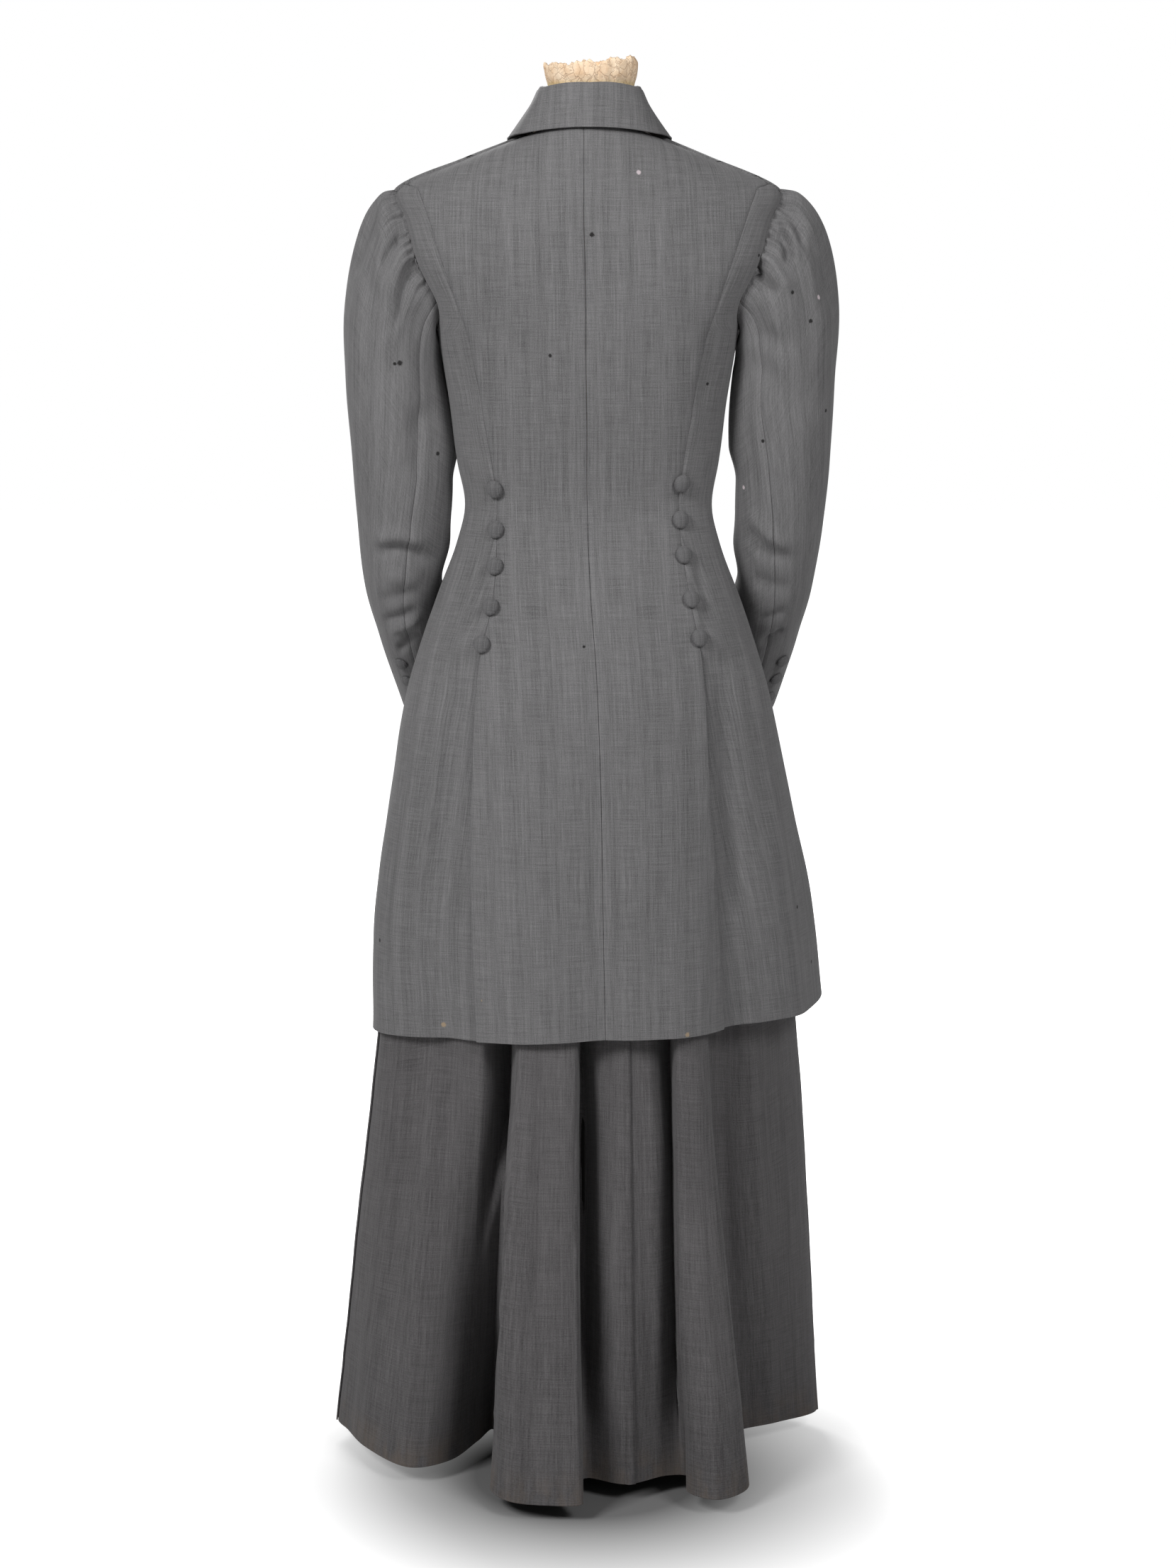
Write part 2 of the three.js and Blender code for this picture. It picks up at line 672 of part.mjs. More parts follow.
function sleevePiece(side, under, material) {
  const seamTurn = (at) => along(SLEEVE_SEAM, 'at', at, 'turn');
  const place = (u, at) => {
    const seam = seamTurn(THREE.MathUtils.clamp(at, 0, 1));
    const turn = under ? mix(seam, SLEEVE_FRONT_SEAM, u) : mix(SLEEVE_FRONT_SEAM - 360, seam, u);
    return sleevePoint(side, turn, at);
  };
  const outward = (point) => {
    const at = 0.24;
    const centre = ovalPoint(side, 0, at).lerp(ovalPoint(side, 180, at), 0.5);
    return new THREE.Vector3(point.x - centre.x, point.y - centre.y, 0);
  };
  const name = `sleeve_${under ? 'under' : 'top'}_${side === LEFT ? 'left' : 'right'}`;
  return clothWall(name, place, under ? steps(5) : steps(14), SLEEVE_PLACES, outward, material);
}

// The skirt

// A point under the jacket's body, moved in from its surface.
function insidePoint(turn, level, inset) {
  const place = (t, l) => bodyPoint(turn + t, l);
  const point = place(0, level);
  return point.addScaledVector(outwardNormal(place, 0, level, fromMiddle(point)), -inset);
}

// One fold line of the skirt, as its place at each of four heights.
const SKIRT_PATHS = SKIRT_LINES.map((line) => {
  const waist = insidePoint(line.turn, SKIRT_TOP, WAIST_INSET);
  const hip = insidePoint(line.turn, SKIRT_HIP, HIP_INSET);
  const knee = insidePoint(line.kneeTurn, HEM_Z, line.kneeIn);
  return table(['level', 'x', 'y'], [
    [SKIRT_HEM, line.hemX, line.hemY],
    [SKIRT_KNEE, knee.x, knee.y],
    [SKIRT_HIP, hip.x, hip.y],
    [SKIRT_TOP, waist.x, waist.y],
  ]);
});
const skirtLineIndex = (name) => SKIRT_LINES.findIndex((line) => line.name === name);

const skirtCurves = new Map();

function skirtCurve(level) {
  if (!skirtCurves.has(level)) {
    const points = SKIRT_PATHS.map((path) => new THREE.Vector3(
      along(path, 'level', level, 'x'),
      along(path, 'level', level, 'y'),
      level,
    ));
    skirtCurves.set(level, new THREE.CatmullRomCurve3(points, true, 'centripetal'));
  }
  return skirtCurves.get(level);
}

function skirtPoint(line, level) {
  const count = SKIRT_LINES.length;
  return skirtCurve(level).getPoint((((line % count) + count) % count) / count);
}

const SKIRT_LEVELS = [SKIRT_HEM, 100, 190, 290, 390, SKIRT_KNEE, 600, 730, SKIRT_HIP, 940, SKIRT_TOP];

function skirtPiece(name, from, to, perLine, material) {
  const count = SKIRT_LINES.length;
  const start = skirtLineIndex(from);
  const end = skirtLineIndex(to) < start ? skirtLineIndex(to) + count : skirtLineIndex(to);
  const place = (u, level) => skirtPoint(mix(start, end, u), level);
  const columns = (end - start) * perLine;
  const hint = (point) => {
    const line = mix(start, end, (columns >> 1) / columns);
    const course = skirtPoint(line + 0.02, point.z).sub(skirtPoint(line - 0.02, point.z));
    return new THREE.Vector3(-course.y, course.x, 0);
  };
  return clothWall(name, place, steps(columns), SKIRT_LEVELS, hint, material);
}

function skirtWaistband(material) {
  const ring = (inset, level) => formTurns().map((turn) => insidePoint(turn, level, inset).setZ(level));
  const low = SKIRT_TOP + SEAM_GAP;
  const outer = WAIST_INSET + 0.2;
  const inner = outer + WALL;
  const loops = [ring(outer, low), ring(outer, WAISTBAND_TOP), ring(inner, WAISTBAND_TOP), ring(inner, low)];
  const count = loops[0].length;
  const triangles = [];
  loops.forEach((_, r) => {
    for (let c = 0; c < count; c += 1) {
      const next = (c + 1) % count;
      const [a, b] = [r * count + c, r * count + next];
      const [d, e] = [((r + 1) % 4) * count + c, ((r + 1) % 4) * count + next];
      triangles.push([a, b, e], [a, e, d]);
    }
  });
  return solid('skirt_waistband', loops.flat(), triangles, material);
}

// Covered buttons

function button(name, point, normal, radius, seat, material) {
  const height = (BUTTON_HEIGHT * radius) / BUTTON_RADIUS;
  const profile = [
    new THREE.Vector2(0, 0),
    new THREE.Vector2(radius * 0.86, 0),
    new THREE.Vector2(radius, height * 0.3),
    new THREE.Vector2(radius * 0.72, height * 0.8),
    new THREE.Vector2(0, height),
  ];
  const geometry = new THREE.LatheGeometry(profile, 12);
  geometry.applyQuaternion(new THREE.Quaternion().setFromUnitVectors(new THREE.Vector3(0, 1, 0), normal));
  geometry.translate(...point.clone().addScaledVector(normal, seat).toArray());
  const mesh = new THREE.Mesh(geometry, material);
  mesh.name = name;
  return mesh;
}

function outwardNormal(place, u, v, away) {
  const normal = surfaceNormal(place, u, v);
  return normal.dot(away) > 0 ? normal : normal.negate();
}

function bodyButton(name, turn, level, seat, material) {
  const place = (t, l) => bodyPoint(turn + t, l);
  const point = bodyPoint(turn, level);
  const normal = outwardNormal(place, 0, level, fromMiddle(point));
  return button(name, point, normal, BUTTON_RADIUS, seat, material);
}

function buttons(material) {
  const group = new THREE.Group();
  BACK_BUTTONS.forEach((row, index) => {
    const left = backSeamTurn(LEFT, row.left);
    const right = backSeamTurn(RIGHT, row.right);
    group.add(bodyButton(`back_button_left_${index + 1}`, left, row.left, BUTTON_SEAT, material));
    group.add(bodyButton(`back_button_right_${index + 1}`, right, row.right, BUTTON_SEAT, material));
  });
  FRONT_BUTTON_LEVELS.forEach((level, index) => {
    const name = `front_button_${index + 1}`;
    group.add(bodyButton(name, 180, level, LAP_LIFT + FRONT_BUTTON_SEAT, material));
  });
  for (const side of [LEFT, RIGHT]) {
    const back = side === LEFT ? CUFF_BUTTON_TURN_LEFT : CUFF_BUTTON_TURN_RIGHT;
    CUFF_BUTTON_PLACES.forEach((at, index) => {
      const turn = along(SLEEVE_SEAM, 'at', at, 'turn') - back;
      const place = (t, a) => sleevePoint(side, turn + t * 90, a);
      const point = place(0, at);
      const away = point.clone().sub(ovalPoint(side, turn + 180, at));
      const name = `cuff_button_${side === LEFT ? 'left' : 'right'}_${index + 1}`;
      const normal = outwardNormal(place, 0, at, away);
      group.add(button(name, point, normal, CUFF_BUTTON_RADIUS, CUFF_BUTTON_SEAT, material));
    });
  }
  return group;
}

// The dress form

function formTurns() {
  return steps(FORM_SIDES - 1, 0, 360 - 360 / FORM_SIDES);
}

function formTorso(material) {
  const turns = formTurns();
  const levels = [FORM_LOW, 880, 945, 985, SKIRT_TOP, WAISTBAND_TOP, 1095, 1145, 1200, 1245, 1290, 1325, 1345];
  levels.push(SHOULDER_Z, ...TOP_LEVELS);
  const rings = levels.map((level) => turns.map((turn) => {
    return insidePoint(turn, level, along(FORM_CLEARANCE, 'level', level, 'inset'));
  }));
  rings[0].forEach((point) => point.setZ(FORM_LOW));
  for (const row of NECK_RINGS) {
    rings.push(turns.map((turn) => new THREE.Vector3(
      NECK_CENTRE_X + (NECK_HALF_WIDTH - row.less) * Math.sin(radians(turn)),
      NECK_CENTRE_Y + (NECK_HALF_DEPTH - row.less) * Math.cos(radians(turn)),
      row.z,
    )));
  }
  return ringSolid('form_torso', rings, material);
}

function stand(poleMaterial, baseMaterial) {
  const group = new THREE.Group();
  const poleLow = BASE_HEIGHT + SEAM_GAP;
  const poleHigh = FORM_LOW - SEAM_GAP;
  const rod = new THREE.CylinderGeometry(POLE_RADIUS, POLE_RADIUS, poleHigh - poleLow, 24);
  const pole = new THREE.Mesh(rod, poleMaterial);
  pole.rotation.x = Math.PI / 2;
  pole.position.z = (poleLow + poleHigh) / 2;
  pole.name = 'stand_pole';
  const profile = [
    new THREE.Vector2(0, 0),
    new THREE.Vector2(BASE_HALF_WIDTH, 0),
    new THREE.Vector2(BASE_HALF_WIDTH, BASE_HEIGHT * 0.6),
    new THREE.Vector2(BASE_HALF_WIDTH - 5, BASE_HEIGHT),
    new THREE.Vector2(0, BASE_HEIGHT),
  ];
  const plate = new THREE.LatheGeometry(profile, 48);
  plate.scale(1, 1, BASE_HALF_DEPTH / BASE_HALF_WIDTH);
  const base = new THREE.Mesh(plate, baseMaterial);
  base.rotation.x = Math.PI / 2;
  base.position.y = BASE_CENTRE_Y;
  base.name = 'stand_base';
  group.add(pole, base);
  return group;
}

// The whole object

const jacketCloth = new THREE.MeshStandardMaterial({ color: 0x6c6d6e, roughness: 0.95, metalness: 0 });
const skirtCloth = new THREE.MeshStandardMaterial({ color: 0x4c4a4b, roughness: 0.95, metalness: 0 });
const formCover = new THREE.MeshStandardMaterial({ color: 0xc2ab82, roughness: 0.7, metalness: 0 });
const standMetal = new THREE.MeshStandardMaterial({ color: 0x2b2b2c, roughness: 0.5, metalness: 0.8 });

const suit = new THREE.Group();
suit.add(formTorso(formCover), stand(standMetal, standMetal));
for (const side of [LEFT, RIGHT]) {
  suit.add(jacketBack(side, jacketCloth));
  suit.add(jacketSide(side, jacketCloth));
  suit.add(jacketFront(side, jacketCloth));
  suit.add(revers(side, jacketCloth));
  suit.add(sleevePiece(side, false, jacketCloth));
  suit.add(sleevePiece(side, true, jacketCloth));
}
suit.add(collar(jacketCloth));
suit.add(buttons(jacketCloth));
suit.add(skirtWaistband(skirtCloth));
suit.add(skirtPiece('skirt_front', 'front_right', 'front_left', 3, skirtCloth));
suit.add(skirtPiece('skirt_side_left', 'front_left', 'side_left', 4, skirtCloth));
suit.add(skirtPiece('skirt_back_left', 'side_left', 'e_face', 3, skirtCloth));
suit.add(skirtPiece('skirt_back_right', 'e_face', 'side_right', 3, skirtCloth));
suit.add(skirtPiece('skirt_side_right', 'side_right', 'front_right', 4, skirtCloth));

export default suit;
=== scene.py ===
# Walking suit, a long jacket and a floor length skirt, on a limbless dress form.
# The garment's own sizes are in millimetres. Meshes are made in metres, as the frame is.
# +Z is up, the front faces -Y, and the wearer's left is +X.
import math

import bpy
import numpy as np
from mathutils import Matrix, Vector


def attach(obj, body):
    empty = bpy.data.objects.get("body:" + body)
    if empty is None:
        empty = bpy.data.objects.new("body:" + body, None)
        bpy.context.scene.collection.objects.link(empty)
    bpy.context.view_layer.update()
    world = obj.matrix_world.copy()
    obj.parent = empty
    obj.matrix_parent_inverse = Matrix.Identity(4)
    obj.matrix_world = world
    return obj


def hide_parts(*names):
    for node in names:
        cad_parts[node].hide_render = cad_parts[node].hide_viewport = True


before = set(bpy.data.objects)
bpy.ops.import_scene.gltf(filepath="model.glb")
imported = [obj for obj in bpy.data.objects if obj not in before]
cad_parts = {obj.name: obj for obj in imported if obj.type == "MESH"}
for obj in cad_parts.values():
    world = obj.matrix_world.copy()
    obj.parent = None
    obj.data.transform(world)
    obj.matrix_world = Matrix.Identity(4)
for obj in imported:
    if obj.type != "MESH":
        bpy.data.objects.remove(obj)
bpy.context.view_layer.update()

# Driving dimensions
MM = 0.001
CLOTH = 1.7
SEAM_GAP = 0.36
REST_GAP = 0.4
WALL = 2
ARMHOLE_GAP = 0.95
LEFT = 1
RIGHT = -1
HEM_Z = 496
HEM_DROP = 0.03
ARMHOLE_LOW = 1215
SHOULDER_Z = 1355
NECK_LEVEL = 1418
BREAK_LEVEL = 1185
FRONT_OVERLAP = 18
LAP_LIFT = 2.8
PLEAT_TOP = 905
PLEAT_UNDERLAP = 14
PLEAT_SINK = 4.6
BUTTON_RADIUS = 9
BUTTON_HEIGHT = 6
CUFF_BUTTON_RADIUS = 7.5
BUTTON_SEAT = 0.8
FRONT_BUTTON_SEAT = 0.35
CUFF_BUTTON_SEAT = 0.55
WAISTBAND_TOP = 1052
SKIRT_TOP = 1021
SKIRT_HIP = 850
SKIRT_KNEE = 489
SKIRT_HEM = 20
SKIRT_HEM_DEPTH = 78
SEAM_LAP_SUNK = 2.2
VALLEY_EDGE = 1.8
WAIST_INSET = 6.2
HIP_INSET = 14
FORM_LOW = 822
NECK_TOP = 1484
NECK_HALF_WIDTH = 45
NECK_HALF_DEPTH = 40
NECK_CENTRE_X = -3
NECK_CENTRE_Y = 6
REVERS_TOP = 1345
REVERS_WIDTH = 56
REVERS_WIDTH_LOW = 6
REVERS_LIFT = 0.9
COLLAR_FOOT_OUT = 1.0
COLLAR_FOOT_UP = 0.1
COLLAR_SIDE = 0.62
COLLAR_END_LEVEL = 1366
COLLAR_FRONT_FALL = 26
SLEEVE_FRONT_SEAM = 218
HEAD_FOLD = 2.2
ELBOW_FOLD = 3
PUCKER = 2.4
PUCKERS = 46
UNDERARM_BULGE = 7
UNEVEN = 0.45
FRONT_STITCHES = 8
EDGE_STITCHES = 6
CUFF_BUTTON_PLACES = [0.835, 0.885, 0.935]
CUFF_BUTTON_TURN_LEFT = 24
CUFF_BUTTON_TURN_RIGHT = 36
FRONT_BUTTON_LEVELS = [1165, 1110, 1056, 1000]

# Tables


def table(names, rows):
    """Named columns from rows of values."""
    return {name: np.array(column) for name, column in zip(names.split(), zip(*rows))}


def each(rows):
    """The rows of a table, one at a time, with plain numbers and words."""
    for values in zip(*rows.values()):
        yield {name: value.item() for name, value in zip(rows, values)}


# The jacket's body, one row for each level from hem to neck.
BODY = table(
    "level zBack zSide zFront half back front sideLeft sideRight round shift",
    [
        (496, 496, 496, 496, 239, 86, -176, -20, -120, 2.0, -13),
        (615, 615, 615, 615, 230, 94, -158, -18, -82, 2.1, -7),
        (757, 757, 757, 757, 204, 101, -137, -9, -36, 2.2, -2),
        (852, 852, 852, 852, 185, 102, -124, -5, -10, 2.2, 0),
        (940, 940, 940, 940, 157, 88, -104, -3, -3, 2.2, 0),
        (1000, 1000, 1000, 1000, 135, 68, -92, -2, -2, 2.1, 0),
        (1038, 1038, 1038, 1038, 126, 60, -88, 0, 0, 2.1, 0),
        (1083, 1083, 1083, 1083, 133, 65, -94, 0, 0, 2.2, 0),
        (1145, 1145, 1145, 1145, 141, 78, -110, -2, -2, 2.4, 0),
        (1200, 1200, 1200, 1200, 150, 86, -120, -4, -4, 2.6, 0),
        (1237, 1237, 1237, 1237, 156, 88, -115, -3, -3, 2.8, 0),
        (1290, 1290, 1290, 1290, 184, 88, -98, 0, 0, 2.5, 0),
        (1325, 1325, 1325, 1325, 188, 84, -85, 3, 3, 2.1, 0),
        (1355, 1355, 1355, 1353, 190, 78, -68, 5, 5, 1.6, 0),
        (1388, 1391, 1384, 1376, 123, 68, -50, 8, 8, 1.6, 0),
        (1418, 1421, 1409, 1403, 60, 56, -38, 9, 9, 2.0, -2),
    ],
)

# Back seams as seen from behind: the centre seam and the curved seam on either side.
BACK_SEAMS = table(
    "level centre left right",
    [
        (496, -18, 115, -146),
        (655, -15, 121, -134),
        (763, -13, 119, -124),
        (885, -8, 110, -116),
        (949, -3, 96, -103),
        (1015, 0, 92, -93),
        (1056, 1, 93, -93),
        (1120, 1, 103, -102),
        (1192, 2, 117, -115),
        (1233, 2, 127, -126),
        (1290, 3, 147, -145),
        (1325, 4, 158, -157),
        (1355, 4, 169, -168),
    ],
)

# The armhole, in degrees round the body from the centre back, on its back and front edge.
ARMHOLE = table(
    "level backTurn frontTurn",
    [
        (1215, 90, 90),
        (1222, 79, 101),
        (1237, 71, 112),
        (1265, 68.5, 118),
        (1290, 68, 117),
        (1325, 76, 106),
        (1345, 84, 96),
        (1355, 90, 90),
    ],
)

# The neck opening of the fronts, as half its width at each level.
NECK_OPENING = table(
    "level half",
    [(1185, 0), (1240, 22), (1300, 37), (1355, 47), (1388, 53), (1418, 60)],
)

# Soft folds of the jacket's skirt: where each starts, its place there and at the hem, its
# width, and how far it stands out (or in) at the hem.
JACKET_FOLDS = table(
    "start xStart xHem width out face",
    [
        (860, 150, 217, 17, 6, "back"),
        (900, 124, 152, 22, -9, "back"),
        (870, 64, 66, 30, 5, "back"),
        (860, -6, -14, 26, -9, "back"),
        (870, -72, -98, 26, 4, "back"),
        (900, -120, -156, 21, -10, "back"),
        (910, -150, -216, 18, 7, "back"),
        (900, 84, 128, 26, -8, "front"),
        (880, 50, 74, 26, 5, "front"),
        (880, -50, -82, 26, 5, "front"),
        (900, -84, -140, 26, -8, "front"),
    ],
)

# The sleeve, one row for each ring.
SLEEVE = table(
    "at outerLeft outerRight outerZ innerLeft innerRight innerZ y depth lean",
    [
        (0.0, 190, 190, 1355, 152, 152, 1215, -2, 50, 0),
        (0.05, 206, 211, 1350, 153.5, 154, 1207, -2, 56, 0),
        (0.12, 227, 236, 1315, 153.5, 155, 1192, -5, 62, 0),
        (0.22, 243, 251, 1245, 149.5, 152, 1167, -10, 61, 0),
        (0.34, 245, 250, 1170, 142.5, 149, 1128, -13, 56, 0),
        (0.48, 240, 246, 1085, 137, 150, 1072, -16, 50, 4),
        (0.6, 235, 239, 1010, 141, 149, 1002, -26, 46, 12),
        (0.7, 230, 231, 950, 151, 153, 948, -48, 42, 28),
        (0.8, 220, 221, 905, 148, 150, 905, -82, 38, 40),
        (0.9, 210, 211, 862, 140, 142, 862, -120, 35, 44),
        (1.0, 198, 200, 815, 127, 129, 815, -160, 33, 44),
    ],
)

# The sleeve's back seam, in degrees round the arm from its outer side.
SLEEVE_SEAM = table(
    "at turn",
    [(0.0, 128), (0.15, 131), (0.33, 123), (0.48, 110), (0.62, 96), (0.8, 92), (1.0, 96)],
)

# Fold lines of the skirt, going round from the front over the left side and the back: the
# angle of each at the waist, its angle and how far it lies inside the jacket at the knee, and
# its place at the hem.
SKIRT_LINES = table(
    "name turn kneeTurn kneeIn hemX hemY",
    [
        ("front_middle", 180, 180, 13, 0, -238),
        ("front_left", 152, 154, 14, 128, -222),
        ("front_left_side", 122, 124, 13, 224, -180),
        ("side_left", 96, 90, 10, 274, -118),
        ("b_start", 80, 69, 12, 261, -80),
        ("b_ridge", 66, 57, 14, 238, -28),
        ("b_crown", 54, 46.5, 15, 188, 31),
        ("b_turn", 44, 36, 14, 149, 12),
        ("b_edge", 36, 29.5, 18, 121, -46),
        ("c_floor", 31, 26.5, 30, 105, -84),
        ("c_wall", 27, 24, 30, 91, -36),
        ("d_under", 24, 22, 20, 91, 44),
        ("d_edge", 20, 20.5, 11, 101, 94),
        ("d_round", 15, 17, 11, 80, 128),
        ("d_face", 8, 11.5, 12, 40, 138),
        ("d_lip", 3, 6, 12, 7, 136),
        ("e_under", 0, 4.2, 21, 16, 96),
        ("e_floor", -3, 1, 27, 2, 62),
        ("e_face", -10, -5, 21, -40, 79),
        ("e_side", -18, -13, 25, -84, 54),
        ("f_wall", -24, -18, 24, -109, 56),
        ("f_edge", -28, -20.5, 13, -105, 100),
        ("f_crown", -34, -25.6, 11, -134, 122),
        ("f_turn", -42, -30.5, 15, -165, 92),
        ("g_wall", -50, -33.5, 30, -158, 4),
        ("g_floor", -60, -38, 40, -160, -74),
        ("g_face", -72, -48, 36, -208, -104),
        ("side_right", -94, -92, 33, -252, -142),
        ("front_right_side", -122, -124, 28, -214, -186),
        ("front_right", -152, -154, 16, -120, -224),
    ],
)

# The form's clearance under the cloth, level by level.
FORM_CLEARANCE = table(
    "level inset",
    [
        (822, 40),
        (852, 34),
        (940, 22),
        (1000, 13),
        (1021, 9.4),
        (1052, 9.4),
        (1083, 8),
        (1145, 7),
        (1237, 7),
        (1325, 5.5),
        (1355, 5.2),
        (1388, 5.2),
        (1418, 9),
    ],
)

# The collar, from the centre back (0) to its front end (1).
COLLAR = table(
    "at rise lean fall inset bow",
    [
        (0, 36, -4, 9, 1.5, 4),
        (0.35, 40, -9, 8, 1.5, 2),
        (0.62, 44, -14, 8, 1.5, -2),
        (0.8, 28, -5, 22, 1, 1),
        (1, 6, 4, 34, 0.5, 4),
    ],
)

# Covered buttons on the back seams, by their height on the left and the right.
BACK_BUTTONS = table(
    "left right",
    [(1058, 1064), (1017, 1027), (981, 992), (942, 949), (905, 911)],
)

# The form's neck: the height of each ring and how far it lies inside the widest one.
NECK_RINGS = table("z less", [(1434, 2), (1456, 2), (1468, -1), (1480, -1), (1484, 2)])
# How far the neck's torn rim turns in, and how deep its inside lies.
NECK_INSIDE = [(1.6, 0.6), (3, 2), (3.4, 8), (16, 8.6), (38, 8.8)]
NECK_SPLIT_X = -9
NECK_EVEN_DEPTH = 16

# Where the sleeve's edge goes at the armhole: how deep under the body's face and how far back.
TUCK = [(2.4, 5), (2.3, 2.8), (1.8, 1), (0.8, 0.25)]

# A covered button's profile from its foot to its crown, as shares of its radius and height.
BUTTON_PROFILE = [(0.8, 0), (0.93, 0.05), (0.995, 0.17), (1, 0.3), (0.96, 0.48), (0.86, 0.66), (0.68, 0.83),
                  (0.42, 0.95), (0.12, 0.998)]

# Soft troughs and ridges, listed by their part and the side that they are seen from: three
# places (x, z), the width, and how far they stand in or out before the part's gain.
STROKE_COLUMNS = "x1 z1 x2 z2 x3 z3 width depth"
STROKES = {
    ("sleeve_left", "back"): [
        (183, 1318, 196, 1297, 208, 1276, 5, -3.2),
        (172, 1292, 181, 1262, 197, 1205, 7, -3.4),
        (190, 1312, 205, 1284, 211, 1248, 8, 2.2),
        (176, 1300, 190, 1272, 203, 1236, 6, 1.8),
        (205, 1348, 226, 1308, 238, 1262, 7, -2.4),
        (212, 1330, 217, 1290, 222, 1240, 7, -1.6),
        (168, 1252, 186, 1206, 200, 1150, 13, -2.6),
        (162, 1150, 172, 1110, 168, 1060, 12, -2.2),
        (224, 991, 188, 996, 150, 978, 6, -2.8),
        (226, 1003, 194, 1009, 156, 1000, 7, 2.4),
        (214, 962, 190, 966, 168, 958, 8, 1.6),
        (220, 940, 196, 943, 172, 952, 6, -1.6),
        (218, 914, 194, 921, 172, 932, 5, -2.2),
        (208, 904, 190, 910, 170, 922, 4, 1.8),
        (201, 879, 189, 891, 172, 908, 4, -2.4),
    ],
    ("sleeve_left", "front"): [
        (205, 1345, 222, 1300, 232, 1240, 8, -2.4),
        (180, 1300, 195, 1262, 205, 1200, 8, -2.8),
        (172, 1075, 200, 1060, 226, 1068, 8, -2.4),
        (170, 1030, 196, 1018, 222, 1022, 7, -2.8),
        (172, 1003, 194, 996, 216, 1001, 6, 1.8),
        (176, 976, 194, 968, 212, 974, 6, -2.2),
    ],
    ("sleeve_right", "back"): [
        (-184, 1326, -199, 1300, -200, 1278, 5, -3.2),
        (-190, 1346, -209, 1321, -214, 1292, 6, -2.4),
        (-188, 1332, -206, 1308, -209, 1276, 6, 2.0),
        (-163, 1294, -171, 1268, -190, 1250, 6, -3.4),
        (-172, 1300, -186, 1270, -206, 1252, 7, 1.8),
        (-150, 1252, -172, 1214, -214, 1188, 11, -2.4),
        (-160, 1200, -192, 1160, -228, 1120, 13, -1.6),
        (-220, 1320, -234, 1280, -240, 1230, 8, -2),
        (-158, 1020, -177, 995, -212, 979, 6, -2.8),
        (-160, 1036, -181, 1010, -216, 993, 7, 2.4),
        (-164, 968, -186, 956, -214, 952, 7, -1.6),
        (-172, 916, -190, 922, -208, 930, 5, -1.6),
        (-176, 888, -193, 898, -206, 908, 4, -2.2),
    ],
    ("sleeve_right", "front"): [
        (-205, 1345, -226, 1300, -236, 1240, 8, -2.6),
        (-178, 1296, -194, 1258, -208, 1196, 8, -2.8),
        (-172, 1066, -200, 1052, -228, 1062, 8, -2.4),
        (-172, 1026, -196, 1012, -222, 1018, 7, -2.6),
        (-176, 980, -194, 972, -214, 979, 6, -2.2),
    ],
    ("body", "back"): [
        (128, 1245, 122, 1185, 110, 1120, 10, -1.6),
        (-126, 1240, -121, 1185, -109, 1120, 10, -1.6),
        (120, 1062, 98, 1050, 70, 1052, 7, -0.9),
        (118, 1030, 96, 1022, 66, 1026, 7, 0.8),
        (-118, 1058, -98, 1046, -72, 1050, 7, -0.9),
        (102, 1000, 110, 955, 116, 905, 6, -1.5),
        (-108, 1000, -116, 955, -123, 905, 6, -1.5),
        (78, 990, 84, 940, 92, 850, 9, -0.8),
        (-84, 985, -92, 930, -98, 850, 9, -0.8),
        (60, 1330, 20, 1322, -40, 1328, 9, -0.7),
        (128, 900, 140, 800, 158, 600, 9, -3),
        (-133, 900, -140, 780, -154, 560, 8, -3.4),
        (-118, 880, -124, 760, -134, 600, 9, 1.4),
        (-168, 905, -186, 800, -206, 600, 9, 1.8),
    ],
    ("body", "front"): [
        (100, 1060, 78, 1048, 40, 1054, 7, -1.1),
        (-100, 1056, -76, 1044, -36, 1050, 7, -1.1),
        (92, 1200, 84, 1140, 74, 1080, 9, -1.6),
        (-92, 1200, -84, 1140, -74, 1080, 9, -1.6),
        (60, 900, 66, 760, 78, 560, 12, -1.6),
        (-62, 900, -70, 760, -84, 560, 12, -1.6),
    ],
    ("skirt", "back"): [
        (-106, 520, -103, 330, -113, 120, 7, 4.8),
        (22, 520, 24, 330, 26, 120, 6, 3.2),
        (205, 420, 232, 280, 246, 60, 12, -4.8),
        (40, 430, 46, 280, 52, 60, 10, -2.9),
        (-40, 430, -46, 260, -60, 60, 10, -3.5),
        (-12, 430, -20, 300, -30, 80, 8, 2.2),
        (-118, 420, -126, 260, -140, 90, 9, -3.2),
        (-196, 420, -206, 300, -214, 90, 10, -4.2),
    ],
    ("skirt", "front"): [
        (70, 470, 82, 280, 96, 60, 16, -6.4),
        (-70, 470, -82, 280, -96, 60, 16, -6.4),
        (0, 470, 6, 280, 14, 60, 18, 4.8),
        (150, 470, 166, 280, 186, 60, 16, -6.4),
        (-146, 470, -160, 280, -180, 60, 16, -6.4),
        (112, 440, 124, 280, 140, 80, 14, 4.8),
        (-110, 440, -122, 280, -138, 80, 14, 4.8),
    ],
}
STROKE_GAIN = {"sleeve_left": 2.4, "sleeve_right": 2.4, "body": 1.8, "skirt": 1}

# Deep valleys between the skirt's back folds: the x of the fold's edge at three levels, the side
# of the edge that the valley lies on, how far it reaches and how deep it falls behind the edge.
VALLEYS = table(
    "high middle low side reach depth",
    [
        (76, 82, 95, 1, 34, 54),
        (11, 10, 8, -1, 24, 44),
        (-88, -92, -99, 1, 27, 46),
    ],
)
# The three levels, and where a valley starts and is full: from above, from below and from the side.
VALLEY_LEVELS = [520, 300, 60]
VALLEY_TOP = [640, 540]
VALLEY_FOOT = [10, 200]
VALLEY_BACK = [10, 30]

